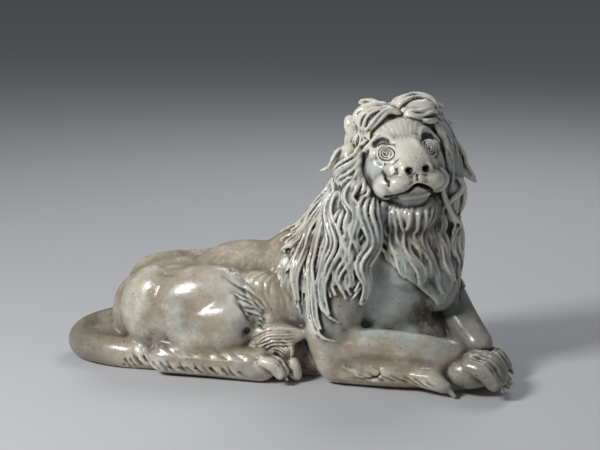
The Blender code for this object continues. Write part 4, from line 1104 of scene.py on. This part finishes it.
def read(name):
    """A number that the clay carries for each vertex."""
    node = nodes.new("ShaderNodeAttribute")
    node.attribute_name = name
    return node.outputs["Fac"]


def noise(scale, detail=2.0, rough=0.5):
    """Cloudy noise from 0 to 1, scale being its spots in a metre."""
    node = nodes.new("ShaderNodeTexNoise")
    node.inputs["Scale"].default_value = scale
    node.inputs["Detail"].default_value = detail
    node.inputs["Roughness"].default_value = rough
    links.new(place, node.inputs["Vector"])
    return node.outputs["Fac"]


def reckon(kind, a, b):
    """Two numbers added or multiplied, kept from 0 to 1."""
    node = nodes.new("ShaderNodeMath")
    node.operation = kind
    node.use_clamp = True
    for socket, value in zip(node.inputs, (a, b)):
        if isinstance(value, (int, float)):
            socket.default_value = value
        else:
            links.new(value, socket)
    return node.outputs[0]


def between(value, low, high, bottom=0.0, top=1.0):
    """A number brought from one range to another."""
    node = nodes.new("ShaderNodeMapRange")
    node.inputs["From Min"].default_value = low
    node.inputs["From Max"].default_value = high
    node.inputs["To Min"].default_value = bottom
    node.inputs["To Max"].default_value = top
    links.new(value, node.inputs["Value"])
    return node.outputs["Result"]


def tinted(under, over, amount):
    """One colour laid over another."""
    node = nodes.new("ShaderNodeMix")
    node.data_type = "RGBA"
    for socket, value in ((node.inputs[6], under), (node.inputs[7], over), (node.inputs[0], amount)):
        if isinstance(value, (tuple, float)):
            socket.default_value = value
        else:
            links.new(value, socket)
    return node.outputs[2]


# iron in the body: a fine speckle, and pinholes where a speck burnt out
speckle = between(noise(650, 2, 0.6), 0.50, 0.72)
flecks = nodes.new("ShaderNodeTexVoronoi")
flecks.inputs["Scale"].default_value = 85
links.new(place, flecks.inputs["Vector"])
pinhole = between(flecks.outputs["Distance"], 0.16, 0.08)
pinhole = reckon("MULTIPLY", pinhole, between(noise(30, 1), 0.52, 0.58))

# the glaze from its ground colour up: each tint with how much of it lies where
warm = reckon("ADD", read("warmth"), between(noise(13, 4, 0.6), 0.38, 0.64, -0.35, 0.75))
stain = between(noise(38, 6, 0.72), 0.48, 0.72)
stained = reckon("ADD", reckon("MULTIPLY", warm, 0.26), 0.12)
specked = reckon("ADD", reckon("MULTIPLY", warm, 0.50), 0.08)
colour = COOL
for tint, amount in (
    (WARM, warm),
    # painted highlight on the forehead and the near thigh
    (PALE, reckon("MULTIPLY", read("pale"), 0.75)),
    # painted highlight on the ridges
    (PALE, reckon("MULTIPLY", read("ridge"), 0.85)),
    (PALE, between(noise(17, 5, 0.65), 0.50, 0.74, 0, 0.75)),
    (IRON, reckon("MULTIPLY", stain, stained)),
    (IRON, reckon("MULTIPLY", speckle, specked)),
    # painted shade under the chin and over the front legs, and the darker tail end
    (SHADE_AND_DARKENING, reckon("MULTIPLY", read("shade_and_dark_tail"), 0.55)),
    # painted shade in the hollows
    (SHADE_AND_DARKENING, reckon("MULTIPLY", read("hollow"), 0.92)),
    # painted shade over the bare body in the recesses
    (BARE_BODY_IN_SHADE, reckon("MULTIPLY", read("bare_body_in_shade"), between(noise(60, 4, 0.7), 0.3, 0.6))),
    (SPECK_AND_SHADE_BLACK, reckon("MULTIPLY", pinhole, 0.8)),
    # painted shade in the mouth, the nostrils, the vent and the holes, with the dark pupils, claws and
    # crack
    (SPECK_AND_SHADE_BLACK, read("hole_shade_and_dark_marks")),
):
    colour = tinted(colour, tint, amount)
links.new(colour, porcelain.inputs["Base Color"])
rough = reckon("ADD", between(noise(40, 3), 0.3, 0.7, 0.16, 0.30), reckon("MULTIPLY", read("hollow"), 0.2))
links.new(rough, porcelain.inputs["Roughness"])
coarse, fine = reckon("MULTIPLY", noise(120, 4, 0.6), 0.8), reckon("MULTIPLY", noise(500, 2), 0.2)
orange_peel = reckon("ADD", coarse, fine)
relief = nodes.new("ShaderNodeBump")
relief.inputs["Strength"].default_value = 0.25
relief.inputs["Distance"].default_value = 0.002
links.new(orange_peel, relief.inputs["Height"])
links.new(relief.outputs["Normal"], porcelain.inputs["Normal"])
lion.data.materials.clear()
lion.data.materials.append(glaze)

# the clay, so far in centimetres, gets the solid's length and stands on the middle of its underside
low, high = (Vector(corner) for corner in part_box("lion"))
sides = [[corner[axis] for corner in lion.bound_box] for axis in range(2)]
metre = (high.x - low.x) / (max(sides[0]) - min(sides[0]))
shift = [(low[axis] + high[axis]) / 2 - metre * (min(sides[axis]) + max(sides[axis])) / 2
         for axis in range(2)]
shift = Vector((*shift, 0))
lion.data.transform(Matrix.Translation(shift) @ Matrix.Scale(metre, 4))
lion.data.shade_smooth()

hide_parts("lion")
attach(lion, "root")

# THE ROOM
# A pale paper floor, wide enough for a look from any side, one large soft lamp high on the left, and a
# weak one on the right. The camera stands 3.2 m away, 12 degrees round from square on and 12 degrees up.

FLOOR_EDGE = 20.0
PAPER = (0.52, 0.53, 0.55, 1)
corners = [(x * FLOOR_EDGE, y * FLOOR_EDGE, 0) for x, y in ((-1, -1), (1, -1), (1, 1), (-1, 1))]
floor_mesh = bpy.data.meshes.new("floor")
floor_mesh.from_pydata(corners, [], [(0, 1, 2, 3)])
floor = bpy.data.objects.new("floor", floor_mesh)
bpy.context.scene.collection.objects.link(floor)
paper = bpy.data.materials.new("paper")
paper.use_nodes = True
paper_shader = paper.node_tree.nodes["Principled BSDF"]
paper_shader.inputs["Base Color"].default_value = PAPER
paper_shader.inputs["Roughness"].default_value = 0.8
floor.data.materials.append(paper)

AZIMUTH, ELEVATION, DISTANCE = math.radians(12), math.radians(12), 3.2
# the photograph's frame, the pixel where the middle of the underside lies, and the clay for each pixel
FRAME_WIDTH, FRAME_HEIGHT = 600, 450
MIDDLE_ACROSS, MIDDLE_DOWN = 296, 362.7
PIXEL = 0.191
SENSOR_WIDTH = 36

pixel = PIXEL * metre
right = Vector((math.cos(AZIMUTH), math.sin(AZIMUTH), 0))
back = Vector((math.sin(AZIMUTH) * math.cos(ELEVATION), -math.cos(AZIMUTH) * math.cos(ELEVATION),
               math.sin(ELEVATION)))
up = back.cross(right)
target = (right * (FRAME_WIDTH / 2 - MIDDLE_ACROSS) * pixel + up * (MIDDLE_DOWN - FRAME_HEIGHT / 2) * pixel
          + shift)
eye = bpy.data.cameras.new("camera")
eye.sensor_width = SENSOR_WIDTH
eye.lens = SENSOR_WIDTH * DISTANCE / (FRAME_WIDTH * pixel)
camera = bpy.data.objects.new("camera", eye)
bpy.context.scene.collection.objects.link(camera)
camera.location = target + back * DISTANCE
camera.rotation_euler = (-back).to_track_quat("-Z", "Y").to_euler()
bpy.context.scene.camera = camera

# the height that the lamps are turned to
AIM_HEIGHT = 0.25


def lamp(name, place, size, power, colour=(1, 1, 1)):
    """A square soft lamp, its size in metres and its power in watts."""
    light = bpy.data.lights.new(name, "AREA")
    light.size = size
    light.energy = power
    light.color = colour
    holder = bpy.data.objects.new(name, light)
    bpy.context.scene.collection.objects.link(holder)
    holder.location = place
    aim = Vector(place) - Vector((0, 0, AIM_HEIGHT))
    holder.rotation_euler = aim.to_track_quat("Z", "Y").to_euler()


lamp("key", (-1.7, -2, 2.1), 0.8, 92, (1, 0.99, 0.97))
lamp("fill", (2.4, -1.8, 1.2), 1.8, 6, (0.96, 0.98, 1))
lamp("rim", (0.3, 1.9, 2.5), 1.6, 30)
DUSK = (0.10, 0.105, 0.115, 1)
world = bpy.data.worlds.new("room")
bpy.context.scene.world = world
world.use_nodes = True
world.node_tree.nodes["Background"].inputs["Color"].default_value = DUSK
bpy.context.scene.view_settings.view_transform = "Standard"
